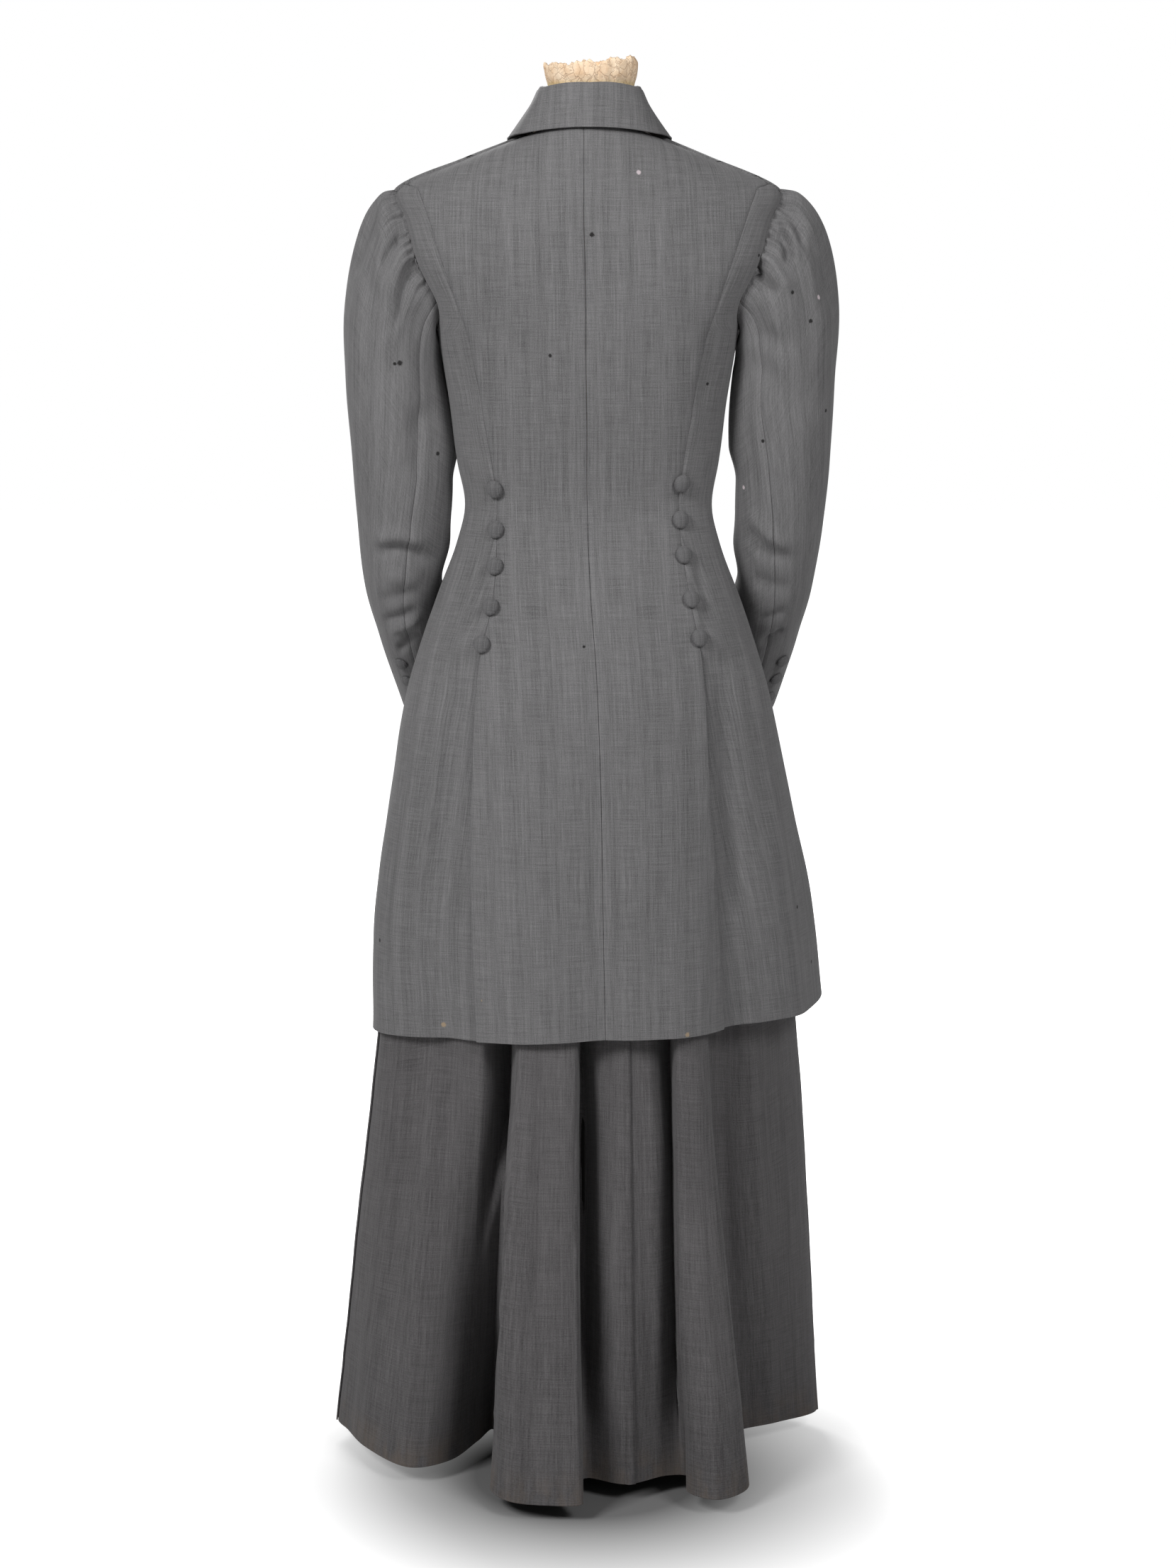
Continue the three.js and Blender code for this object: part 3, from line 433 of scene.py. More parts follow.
# Small marks on the jacket's back: moth holes, frayed worn spots and bits of pale lint.
MARKS = table(
    "kind x z radius",
    [
        ("hole", -3.8, 1310.6, 2.4),
        ("hole", 37.4, 1192.7, 1.8),
        ("hole", -119.2, 1163.4, 1.7),
        ("hole", 188, 1183.8, 2.6),
        ("hole", 193, 1183, 1.8),
        ("hole", 152, 1092, 2.2),
        ("hole", -222, 1225.4, 2.2),
        ("hole", -203, 1254, 2.0),
        ("hole", -240, 1135, 1.9),
        ("hole", -176, 1105.4, 1.9),
        ("hole", -170, 1290, 1.6),
        ("hole", 216, 588.2, 2.1),
        ("hole", -218, 619, 1.8),
        ("hole", -236, 552, 2.1),
        ("hole", 4, 905, 1.4),
        ("lint", -49.8, 1370.9, 2.2),
        ("lint", -230, 1248.8, 2.4),
        ("lint", -158, 1057, 2.0),
        ("frayed", 149, 506, 2.6),
        ("frayed", 107.8, 538.4, 2.1),
        ("frayed", -101.8, 502.5, 2.4),
    ],
)

# The wool's layers of noise: how many to the metre across, along and through the cloth, how fine,
# and how much each counts. The cloudy one runs through the garment, the others with its grain.
WOOL_LAYERS = table(
    "name across along deep detail rough seed weight",
    [
        ("stripes", 95, 1.1, 1, 1, 0.5, 8.3, 0.34),
        ("warp", 520, 9, 1, 2, 0.55, 3.1, 0.55),
        ("fine_warp", 1300, 40, 1, 2, 0.6, 4.6, 0.7),
        ("slubs", 30, 900, 1, 2, 0.6, 7.7, 0.6),
        ("nap", 850, 850, 1, 2, 0.65, 1.3, 0.75),
        ("cloudy", 7, 7, 5, 3, 0.55, 5.0, 0.3),
    ],
)

# The range of the layers' sum that goes from the dark tone to the light one.
WOOL_TONE = (0.36, 0.64)

# Heights in metres: where the soil at the skirt's hem fades out, and where the yellow band on the
# form's neck starts and ends.
SOIL_FADE = (0.02, 0.06)
BAND_FOOT = (1.40, 1.43)
BAND_TOP = (1.462, 1.455)

# The lamps, in metres and watts: where each stands, the point that it aims at, and its width.
LAMPS = table(
    "name x y z aimZ size watts",
    [
        ("key", 1.8, 2.2, 2.6, 1.3, 1.0, 82),
        ("second key", -1.6, 2.2, 2.6, 1.3, 1.0, 45),
        ("front fill", 0.9, -2.8, 2.3, 0.9, 1.5, 95),
    ],
)

# The flat cut of each piece of cloth in metres and square metres, how it is held and on what.
CUTS = table(
    "piece width length area held on",
    [
        ("jacket_back", 0.2, 0.94, 0.122, "hung", "form_torso"),
        ("jacket_side_left", 0.17, 0.91, 0.095, "hung", "form_torso"),
        ("jacket_side_right", 0.23, 0.91, 0.104, "hung", "form_torso"),
        ("jacket_front_left", 0.33, 0.96, 0.222, "hung", "form_torso"),
        ("jacket_front_right", 0.29, 0.96, 0.214, "hung", "form_torso"),
        ("revers", 0.06, 0.166, 0.0064, "folded", "form_torso"),
        ("collar", 0.39, 0.08, 0.03, "folded", "form_torso"),
        ("sleeve_top", 0.36, 0.62, 0.128, "gathered", "form_torso"),
        ("sleeve_under", 0.12, 0.48, 0.044, "hung", "form_torso"),
        ("skirt_waistband", 0.66, 0.031, 0.0204, "hung", "form_torso"),
        ("skirt_front", 0.26, 1.02, 0.226, "hung", "skirt_waistband"),
        ("skirt_side_left", 0.21, 1.03, 0.183, "hung", "skirt_waistband"),
        ("skirt_side_right", 0.165, 1.03, 0.152, "hung", "skirt_waistband"),
        ("skirt_back_left", 0.77, 1.02, 0.466, "gathered", "skirt_waistband"),
        ("skirt_back_right", 0.5, 1.02, 0.358, "gathered", "skirt_waistband"),
    ],
)

# Curves


def along(rows, by, at, key):
    """A smooth value from one column of a table, at places between its rows."""
    places = rows[by].astype(float)
    values = rows[key].astype(float)
    at = np.asarray(at, float)
    last = len(places) - 1
    i = np.clip(np.searchsorted(places, at) - 1, 0, last - 1)
    slopes = np.diff(values) / np.diff(places)
    tangents = np.concatenate([slopes[:1], (slopes[1:] + slopes[:-1]) / 2, slopes[-1:]])
    span = places[i + 1] - places[i]
    t = (at - places[i]) / span
    start = values[i] * (2 * t**3 - 3 * t**2 + 1) + tangents[i] * span * (t**3 - 2 * t**2 + t)
    return start + values[i + 1] * (3 * t**2 - 2 * t**3) + tangents[i + 1] * span * (t**3 - t**2)


def smooth(start, end, value):
    """Rises smoothly from 0 to 1 as the value goes from start to end, in either order."""
    t = np.clip((np.asarray(value, float) - start) / (end - start), 0, 1)
    return t * t * (3 - 2 * t)


def bell(distance, width):
    """Falls from 1 where the distance is 0 to about a third where it is the width."""
    return np.exp(-((distance / width) ** 2))


def sine(degrees):
    return np.sin(np.radians(degrees))


def cosine(degrees):
    return np.cos(np.radians(degrees))


def power(value, exponent):
    return np.sign(value) * np.abs(value) ** exponent


def mix(a, b, t):
    return a + (b - a) * t


def point(x, y, z):
    return np.stack(np.broadcast_arrays(x, y, z), axis=-1).astype(float)


def unit(vectors):
    return vectors / np.maximum(np.linalg.norm(vectors, axis=-1, keepdims=True), 1e-9)


def spline(points, at, closed=False):
    """Points on a centripetal curve through points (..., n, 3), with at counted in points."""
    count = points.shape[-2]
    at = np.asarray(at, float)
    first = np.floor(at).astype(int)
    if not closed:
        first = np.clip(first, 0, count - 2)
    t = (at - first)[..., None]
    if closed:
        around = [np.take(points, (first + k) % count, axis=-2) for k in (-1, 0, 1, 2)]
    else:
        head = 2 * points[..., :1, :] - points[..., 1:2, :]
        tail = 2 * points[..., -1:, :] - points[..., -2:-1, :]
        padded = np.concatenate([head, points, tail], axis=-2)
        around = [np.take(padded, first + k, axis=-2) for k in (0, 1, 2, 3)]
    p0, p1, p2, p3 = around
    gap = [np.maximum(np.sqrt(np.linalg.norm(b - a, axis=-1, keepdims=True)), 1e-4)
           for a, b in ((p0, p1), (p1, p2), (p2, p3))]
    start = (p1 - p0) / gap[0] - (p2 - p0) / (gap[0] + gap[1]) + (p2 - p1) / gap[1]
    end = (p2 - p1) / gap[1] - (p3 - p1) / (gap[1] + gap[2]) + (p3 - p2) / gap[2]
    start = start * gap[1]
    end = end * gap[1]
    bend = 2 * p1 - 2 * p2 + start + end
    rise = -3 * p1 + 3 * p2 - 2 * start - end
    return bend * t**3 + rise * t**2 + start * t + p1


# Shape of the jacket's body


def fold_out(x, level, face):
    """How far the soft folds push the jacket's skirt out, seen from behind or in front."""
    out = np.zeros(np.broadcast(x, level).shape)
    for fold in each(JACKET_FOLDS):
        if fold["face"] == face:
            down = np.maximum((fold["start"] - level) / (fold["start"] - HEM_Z), 0)
            middle = mix(fold["xStart"], fold["xHem"], down)
            out += fold["out"] * down**0.8 * bell(x - middle, fold["width"])
    return out


def body_point(turn, level):
    """A point of the body's outer surface: turn goes from the centre back (0) over the
    wearer's left (90) to the centre front (180)."""
    turn, level = np.broadcast_arrays(np.asarray(turn, float), np.asarray(level, float))
    row = {key: along(BODY, "level", level, key) for key in BODY}
    sin = sine(turn)
    cos = cosine(turn)
    roundness = 2 / row["round"]
    back = cos > 0
    x = row["shift"] + row["half"] * power(sin, roundness)
    reach = np.where(back, row["back"], row["front"])
    side = np.where(sin > 0, row["sideLeft"], row["sideRight"])
    y = side + (reach - side) * np.abs(cos) ** roundness
    z = mix(row["zSide"], np.where(back, row["zBack"], row["zFront"]), cos * cos)
    out = np.where(back, fold_out(x, level, "back"), fold_out(x, level, "front"))
    out = out * np.minimum(1, 2 * np.abs(cos))
    drop = HEM_DROP * x * smooth(700, HEM_Z, level)
    return point(x + out * sin, y + out * cos, z - drop)


def turn_at(x, level):
    """The turn at which the body's surface has a given x."""
    half = along(BODY, "level", level, "half")
    shift = along(BODY, "level", level, "shift")
    share = np.clip((x - shift) / half, -1, 1)
    return np.degrees(np.arcsin(power(share, along(BODY, "level", level, "round") / 2)))


def centre_seam_turn(level):
    return turn_at(along(BACK_SEAMS, "level", np.minimum(level, SHOULDER_Z), "centre"), level)


def back_seam_turn(side, level):
    column = "left" if side == LEFT else "right"
    low = np.minimum(level, SHOULDER_Z)
    below = turn_at(along(BACK_SEAMS, "level", low, column), low)
    return mix(below, side * 90, smooth(SHOULDER_Z, SHOULDER_Z + 9, level))


def armhole_turn(side, level, key):
    return side * along(ARMHOLE, "level", np.clip(level, ARMHOLE_LOW, SHOULDER_Z), key)


def neck_edge_turn(side, level):
    """The neck edge of a front, from the break of the revers up to the shoulder seam."""
    return side * (180 - turn_at(along(NECK_OPENING, "level", level, "half"), level))


def armhole_level(turn):
    middle = (SHOULDER_Z + ARMHOLE_LOW) / 2
    return middle + (SHOULDER_Z - ARMHOLE_LOW) / 2 * cosine(turn)


def from_middle(points):
    return points * (1, 1, 0) + (0, 10, 0)


def slope_normal(place, u, v, hint):
    """The outward normal of a surface at one place of it, or at many."""
    step = 0.004
    across = place(u + step, v) - place(u - step, v)
    down = place(u, v + step) - place(u, v - step)
    normal = unit(np.cross(across, down))
    facing = np.sign(np.sum(normal * hint(place(u, v)), axis=-1, keepdims=True))
    return normal * facing


def inside_point(turn, level, inset):
    """A point under the jacket's body, moved in from its surface."""
    normal = slope_normal(body_point, turn, level, from_middle)
    return body_point(turn, level) - normal * np.asarray(inset, float)[..., None]


def front_edge_turn(side, level):
    below = side * 180 - turn_at(-side * FRONT_OVERLAP, level)
    above = neck_edge_turn(side, np.maximum(level, BREAK_LEVEL))
    return mix(below, above, smooth(BREAK_LEVEL - 40, BREAK_LEVEL + 20, level))


def front_lift(side, turn, level):
    """The wearer's right front laps over the left one at the centre front."""
    if side == LEFT:
        return np.zeros(np.broadcast(turn, level).shape)
    below = np.minimum(level, BREAK_LEVEL + 60)
    share = (np.abs(turn) - 90) / (np.abs(front_edge_turn(side, below)) - 90)
    return LAP_LIFT * smooth(0.5, 0.72, share) * smooth(BREAK_LEVEL + 60, BREAK_LEVEL, level)


def front_point(side, turn, level):
    lift = front_lift(side, turn, level)
    return body_point(turn, level) - point(np.zeros_like(lift), lift, np.zeros_like(lift))


# The collar


def collar_base(at):
    side = np.where(at < 0, RIGHT, LEFT)
    share = np.abs(at)
    beyond = np.clip((share - COLLAR_SIDE) / (1 - COLLAR_SIDE), 0, 1)
    level = mix(NECK_LEVEL, COLLAR_END_LEVEL, beyond)
    turn = np.where(share <= COLLAR_SIDE, side * 90 * share / COLLAR_SIDE, neck_edge_turn(side, level))
    return side, share, turn, level


def collar_point(at, w):
    """The collar stands up from the neckline, folds over and falls on the jacket."""
    at, w = np.broadcast_arrays(np.asarray(at, float), np.asarray(w, float))
    side, share, turn, level = collar_base(at)
    row = {key: along(COLLAR, "at", np.minimum(share, 1), key) for key in COLLAR}
    neck = body_point(turn, level)
    away = point(sine(turn), cosine(turn), 0)
    up = np.array([0, 0, 1.0])
    start = neck - away * row["inset"][..., None] + up * (WALL + REST_GAP)
    top = neck + away * (row["lean"] + 3)[..., None] + up * row["rise"][..., None]
    front = smooth(COLLAR_SIDE - 0.1, 1, share)
    foot = body_point(turn - side * COLLAR_FRONT_FALL * front, level - row["fall"] * (1 - front))
    clear = WALL + REST_GAP
    foot = foot + away * (clear + COLLAR_FOOT_OUT) + up * (clear + COLLAR_FOOT_UP)
    stand = mix(start, top, 0.55) - away
    over = mix(top, foot, 0.3) + away * row["bow"][..., None]
    path = np.stack([start, stand, top, over, foot], axis=-2)
    flat = path.reshape(-1, 5, 3)
    places = np.clip(w, 0, 1).reshape(-1) * 4
    made = np.stack([spline(one, place) for one, place in zip(flat, places)])
    return made.reshape(*at.shape, 3)


# The sleeves


def oval_point(side, turn, at):
    row = {key: along(SLEEVE, "at", at, key) for key in SLEEVE}
    cos = cosine(turn)
    lean = np.radians(row["lean"])
    inner, outer = ("innerLeft", "outerLeft") if side == LEFT else ("innerRight", "outerRight")
    x = mix(row[inner], row[outer], (1 + cos) / 2)
    z = mix(row["innerZ"], row["outerZ"], (1 + cos) / 2)
    back = row["depth"] * sine(turn)
    return point(side * x, row["y"] + back * np.cos(lean), z - back * np.sin(lean))


def armhole_point(side, turn):
    level = armhole_level(turn)
    behind = body_point(armhole_turn(side, level, "backTurn"), level)
    before = body_point(armhole_turn(side, level, "frontTurn"), level)
    return np.where((turn <= 180)[..., None], behind, before)


def head_fold(turn, at):
    """Soft folds of the full sleeve head, which fade out above the elbow."""
    waves = cosine(turn * 7 + 20) + 0.6 * cosine(turn * 4 - 50)
    return HEAD_FOLD * waves * smooth(0.02, 0.1, at) * (1 - smooth(0.12, 0.42, at))


def elbow_fold(turn, at):
    """Creases inside and behind the bent elbow."""
    inside = np.maximum(0, cosine(turn - 235))
    return -ELBOW_FOLD * inside * (np.cos((at - 0.66) * 60) * bell(at - 0.68, 0.1))


def sleeve_point(side, turn, at):
    turn, at = np.broadcast_arrays(np.asarray(turn, float), np.asarray(at, float))
    oval = oval_point(side, turn, at)
    wrapped = np.mod(turn, 360)
    out = unit(oval - oval_point(side, turn + 180, at))
    seam = armhole_point(side, wrapped) - oval_point(side, turn, np.zeros_like(at))
    folds = head_fold(wrapped, at) + elbow_fold(wrapped, at)
    oval = oval + out * folds[..., None]
    oval = oval + seam * ((1 - smooth(0, 0.24, at)) ** 1.5)[..., None]
    return oval + (side * ARMHOLE_GAP, 0, 0)


# The skirt


def skirt_rings(levels):
    """The fold lines' places at each level, as (levels, lines, 3)."""
    lines = list(each(SKIRT_LINES))
    rings = np.zeros((len(levels), len(lines), 3))
    for index, line in enumerate(lines):
        waist = inside_point(line["turn"], SKIRT_TOP, WAIST_INSET)
        hip = inside_point(line["turn"], SKIRT_HIP, HIP_INSET)
        knee = inside_point(line["kneeTurn"], HEM_Z, line["kneeIn"])
        path = {
            "level": np.array([SKIRT_HEM, SKIRT_KNEE, SKIRT_HIP, SKIRT_TOP]),
            "x": np.array([line["hemX"], knee[0], hip[0], waist[0]]),
            "y": np.array([line["hemY"], knee[1], hip[1], waist[1]]),
        }
        rings[:, index, 0] = along(path, "level", levels, "x")
        rings[:, index, 1] = along(path, "level", levels, "y")
        rings[:, index, 2] = levels
    return rings


def deepened(points):
    """The skirt's back with its valleys let in behind the edges of the folds."""
    x, y, z = np.moveaxis(points, -1, 0)
    fallen = np.zeros(x.shape)
    for valley in each(VALLEYS):
        edge = np.interp(z, VALLEY_LEVELS[::-1], [valley["low"], valley["middle"], valley["high"]])
        beyond = (x - edge) * valley["side"]
        shape = smooth(-VALLEY_EDGE, VALLEY_EDGE, beyond) * smooth(valley["reach"], 0, beyond)
        fallen = np.maximum(fallen, valley["depth"] * shape)
    fallen = fallen * smooth(*VALLEY_TOP, z) * smooth(*VALLEY_FOOT, z) * smooth(*VALLEY_BACK, y)
    return point(x, y - fallen, z)


def skirt_line(name):
    return list(SKIRT_LINES["name"]).index(name)


# Rows and columns of the fine grids


def steps(count, start=0.0, end=1.0):
    return np.linspace(start, end, count + 1)


def edged(count, edge=0.006):
    """Even steps from 0 to 1, with a few close ones at both ends for the turn of the edge."""
    near = np.array([0, 1, 2.5, 5]) * edge
    return np.concatenate([near, steps(count, 8 * edge, 1 - 8 * edge), 1 - near[::-1]])


HEM_ROWS = HEM_Z + np.array([0, 0.8, 2, 4])
LOW_ROWS = steps(150, HEM_Z + 8, 1185)
ARMHOLE_ROWS = armhole_level(steps(72, 180, 0))
BODY_ROWS = np.concatenate([HEM_ROWS, LOW_ROWS, steps(5, 1190, 1213), ARMHOLE_ROWS])
BACK_ROWS = np.concatenate([BODY_ROWS, steps(18, 1357, NECK_LEVEL)])
SIDE_ROWS = np.concatenate([BODY_ROWS, [1357, 1359, 1361]])
SLEEVE_ROWS = np.concatenate([steps(34, 0, 0.11), steps(116, 0.117, 0.985), [0.991, 0.996, 0.9985, 1]])
SKIRT_ROWS = np.concatenate([SKIRT_HEM + np.array([0, 0.8, 2, 4]), steps(138, SKIRT_HEM + 9, SKIRT_TOP)])

SEAM_LAP = np.array([0.03, 0.1, 0.2])

# Relief of the cloth


def roll(distance, depth=0.8, width=2.2):
    """A seam's edge turns in: how far the face sinks at a distance from it."""
    return -depth * bell(distance, width)


def strokes_out(part, points, normal):
    """How far the given troughs and ridges raise a piece at each of its points."""
    lift = np.zeros(points.shape[:2])
    place = points[..., [0, 2]]
    for face, outward in (("back", normal[..., 1]), ("front", -normal[..., 1])):
        for stroke in each(table(STROKE_COLUMNS, STROKES[part, face])):
            nearest = np.full(lift.shape, 1e9)
            share = np.zeros(lift.shape)
            stops = [np.array([stroke[f"x{i}"], stroke[f"z{i}"]], float) for i in (1, 2, 3)]
            for index, (start, end) in enumerate(zip(stops, stops[1:])):
                course = end - start
                t = np.clip((place - start) @ course / (course @ course), 0, 1)
                distance = np.linalg.norm(place - start - t[..., None] * course, axis=-1)
                closer = distance < nearest
                nearest = np.where(closer, distance, nearest)
                share = np.where(closer, (index + t) / 2, share)
            fade = smooth(0, 0.3, share) * smooth(1, 0.7, share) * smooth(-0.05, 0.3, outward)
            lift += STROKE_GAIN[part] * stroke["depth"] * fade * bell(nearest, stroke["width"])
    return lift


def uneven(points):
    """A slight waviness of soft cloth."""
    x, y, z = np.moveaxis(points, -1, 0)
    slow = np.sin(x * 0.043 + z * 0.011 + 0.8) * np.sin(z * 0.019 + y * 0.03 + 1.3)
    return UNEVEN * (slow + 0.5 * np.sin(x * 0.09 - z * 0.035 + 2.1) * np.sin(z * 0.052 + 0.4))


def seam_relief(left=0.8, right=0.8, high=0.0, extra=None, part=None):
    """Relief of a piece whose edges turn in by the depths given, with its strokes and extra."""
    def relief(points, normal, across, down):
        lift = uneven(points)
        lift += roll(across, left) + roll(across[:, -1:] - across, right)
        lift += roll(down[-1:] - down, high)
        if part is not None:
            lift += strokes_out(part, points, normal)
        if extra is not None:
            lift += extra(points, across, down)
        return lift
    return relief


def gathers(turn, down):
    """Fine puckers where the full sleeve head is sewn into the armhole."""
    wrapped = np.mod(turn + 180, 360) - 180
    strength = 0.3 + 0.9 * bell(wrapped - 70, 36) + 0.6 * bell(wrapped + 82, 32)
    inside = smooth(126, 110, wrapped) * smooth(-150, -118, wrapped)
    wave = sine(wrapped * PUCKERS + 70 * sine(wrapped * 9))
    wave += 0.6 * sine(wrapped * 25 + 20)
    reach = 17 + 6 * sine(wrapped * 17) + 4 * sine(wrapped * 41 + 60)
    return PUCKER * strength * inside * wave * bell(down, reach) * smooth(3, 7, down)


def stitched(distance, depth=0.28, width=0.7):
    """A row of stitches that sinks into the cloth."""
    return roll(distance, depth, width)


# Meshes of cloth


def grid_normals(points):
    """Unit normals of a grid of points, from its rows and columns."""
    return unit(np.cross(np.gradient(points, axis=1), np.gradient(points, axis=0)))


def lengths(points, axis):
    """How far each point of a grid lies along its row or column, measured on the cloth."""
    step = np.linalg.norm(np.diff(points, axis=axis), axis=-1)
    start = np.zeros_like(step[:, :1] if axis == 1 else step[:1])
    return np.concatenate([start, np.cumsum(step, axis=axis)], axis=axis)


def drawn_back(points):
    """The grid with each edge drawn back by half a seam's gap."""
    drawn = points.copy()
    half = SEAM_GAP / 2
    drawn[:, 0] += unit(points[:, 1] - points[:, 0]) * half
    drawn[:, -1] += unit(points[:, -2] - points[:, -1]) * half
    drawn[0] += unit(points[1] - points[0]) * half
    drawn[-1] += unit(points[-2] - points[-1]) * half
    return drawn


def wall_faces(rows, columns):
    """Quads of a closed wall: the outer grid, the inner grid after it, and the rim between."""
    number = np.arange(rows * columns).reshape(rows, columns)
    corners = (number[:-1, :-1], number[:-1, 1:], number[1:, 1:], number[1:, :-1])
    outer = np.stack(corners, axis=-1).reshape(-1, 4)
    under = rows * columns
    inner = outer[:, ::-1] + under
    rims = []
    for line in (number[0, ::-1], number[:, 0], number[-1], number[::-1, -1]):
        rims.append(np.stack([line[:-1], line[1:], line[1:] + under, line[:-1] + under], axis=-1))
    return np.concatenate([outer, inner, *rims])


def placed(name, data):
    """A new object in the scene."""
    obj = bpy.data.objects.new(name, data)
    bpy.context.scene.collection.objects.link(obj)
    return obj


def new_object(name, vertices, faces, material, uv):
    mesh = bpy.data.meshes.new(name)
    mesh.from_pydata(vertices.tolist(), [], [list(face) for face in faces])
    mesh.polygons.foreach_set("use_smooth", np.ones(len(faces), bool))
    loops = np.zeros(len(mesh.loops), int)
    mesh.loops.foreach_get("vertex_index", loops)
    layer = mesh.uv_layers.new(name="grain")
    layer.data.foreach_set("uv", uv[loops].reshape(-1))
    mesh.materials.append(material)
    return placed(name, mesh)


OUTER_POINTS = {}


def cloth(name, points, hint, material, relief, grain=0.5):
    """A thin wall of cloth on a grid of outer points. relief gives how far the outer face is
    raised at each place, and grain the column that the warp runs along, or "columns" where it
    follows them all."""
    points = drawn_back(points)
    normal = grid_normals(points)
    facing = np.sign(np.sum(normal * hint(points)))
    normal = normal * facing
    across = lengths(points, 1)
    down = lengths(points, 0)
    points = points + normal * relief(points, normal, across, down)[..., None]
    inner = points - normal * CLOTH
    OUTER_POINTS[name] = points.reshape(-1, 3)
    rows, columns = points.shape[:2]
    faces = wall_faces(rows, columns)
    if facing < 0:
        faces = faces[:, ::-1]
    if grain == "columns":
        uv = np.stack([0 * across + across[int(0.55 * rows)], down], axis=-1)
    else:
        middle = min(int(grain * columns), columns - 1)
        sideways = across - across[:, middle:middle + 1]
        uv = np.stack([sideways, down[:, middle:middle + 1] + 0 * across], axis=-1)
    uv = np.tile(uv.reshape(-1, 2), (2, 1)) * MM
    vertices = np.concatenate([points.reshape(-1, 3), inner.reshape(-1, 3)]) * MM
    return new_object(name, vertices, faces, material, uv)


def ring_mesh(name, loops, material, closed_ring=True):
    """A mesh from loops of points, each joined to the next. It closes in a ring of loops, or
    with a fan at both ends."""
    loops = np.array(loops)
    rings, count = loops.shape[:2]
    number = np.arange(rings * count).reshape(rings, count)
    below = number if closed_ring else number[:-1]
    above = np.roll(number, -1, axis=0) if closed_ring else number[1:]
    quads = np.stack([below, np.roll(below, -1, axis=1), np.roll(above, -1, axis=1), above], axis=-1)
    faces = quads.reshape(-1, 4).tolist()
    vertices = loops.reshape(-1, 3)
    uv = np.stack([lengths(loops, 1), lengths(loops, 0)], axis=-1).reshape(-1, 2)
    if not closed_ring:
        ends = loops[[0, -1]].mean(axis=1)
        vertices = np.concatenate([vertices, ends])
        uv = np.concatenate([uv, np.zeros((2, 2))])
        low, high = rings * count, rings * count + 1
        for here, ahead in zip(range(count), [*range(1, count), 0]):
            faces.append([low, ahead, here])
            faces.append([high, number[-1, here], number[-1, ahead]])
    return new_object(name, vertices * MM, faces, material, uv * MM)


# Materials


def nodes_of(name):
    material = bpy.data.materials.new(name)
    material.use_nodes = True
    tree = material.node_tree
    tree.nodes.clear()
    output = tree.nodes.new("ShaderNodeOutputMaterial")
    shader = tree.nodes.new("ShaderNodeBsdfPrincipled")
    tree.links.new(shader.outputs[0], output.inputs["Surface"])
    return material, tree, shader


def given(node, **values):
    """Sets a node's inputs, each named with _ for a space."""
    for name, value in values.items():
        node.inputs[name.replace("_", " ")].default_value = value


def bumped(tree, shader, height, strength, distance):
    """Raises a surface by a height in its material."""
    bump = tree.nodes.new("ShaderNodeBump")
    given(bump, Strength=strength, Distance=distance)
    tree.links.new(height, bump.inputs["Height"])
    tree.links.new(bump.outputs[0], shader.inputs["Normal"])


def noise(tree, vector, scale, detail=2, rough=0.5, seed=0.0):
    """Noise over a vector that is first scaled along each of its axes."""
    mapping = tree.nodes.new("ShaderNodeMapping")
    given(mapping, Scale=scale, Location=(seed, seed * 0.37, 0))
    texture = tree.nodes.new("ShaderNodeTexNoise")
    given(texture, Scale=1, Detail=detail, Roughness=rough)
    tree.links.new(vector, mapping.inputs["Vector"])
    tree.links.new(mapping.outputs[0], texture.inputs["Vector"])
    return texture.outputs["Fac"]


def maths(tree, operation, a, b=0.0, c=0.0):
    node = tree.nodes.new("ShaderNodeMath")
    node.operation = operation
    for socket, value in zip(node.inputs, (a, b, c)):
        if isinstance(value, (int, float)):
            socket.default_value = value
        else:
            tree.links.new(value, socket)
    return node.outputs[0]


def spread(tree, value, low, high, to_low, to_high):
    """Maps a value from one range to another and stops at its ends."""
    node = tree.nodes.new("ShaderNodeMapRange")
    given(node, From_Min=low, From_Max=high, To_Min=to_low, To_Max=to_high)
    tree.links.new(value, node.inputs["Value"])
    return node.outputs["Result"]


def blend_colour(tree, factor, a, b):
    node = tree.nodes.new("ShaderNodeMix")
    node.data_type = "RGBA"
    for socket, value in ((node.inputs[0], factor), (node.inputs[6], a), (node.inputs[7], b)):
        if isinstance(value, (int, float)):
            socket.default_value = value
        elif isinstance(value, tuple):
            socket.default_value = (*value, 1)
        else:
            tree.links.new(value, socket)
    return node.outputs[2]


def linear(red, green, blue):
    """A colour given as 0 to 255, as shader values."""
    return tuple(((value / 255 + 0.055) / 1.055) ** 2.4 for value in (red, green, blue))


def object_place(tree):
    return tree.nodes.new("ShaderNodeTexCoord").outputs["Object"]


def height_of(tree, place):
    split = tree.nodes.new("ShaderNodeSeparateXYZ")
    tree.links.new(place, split.inputs[0])
    return split.outputs["Z"]


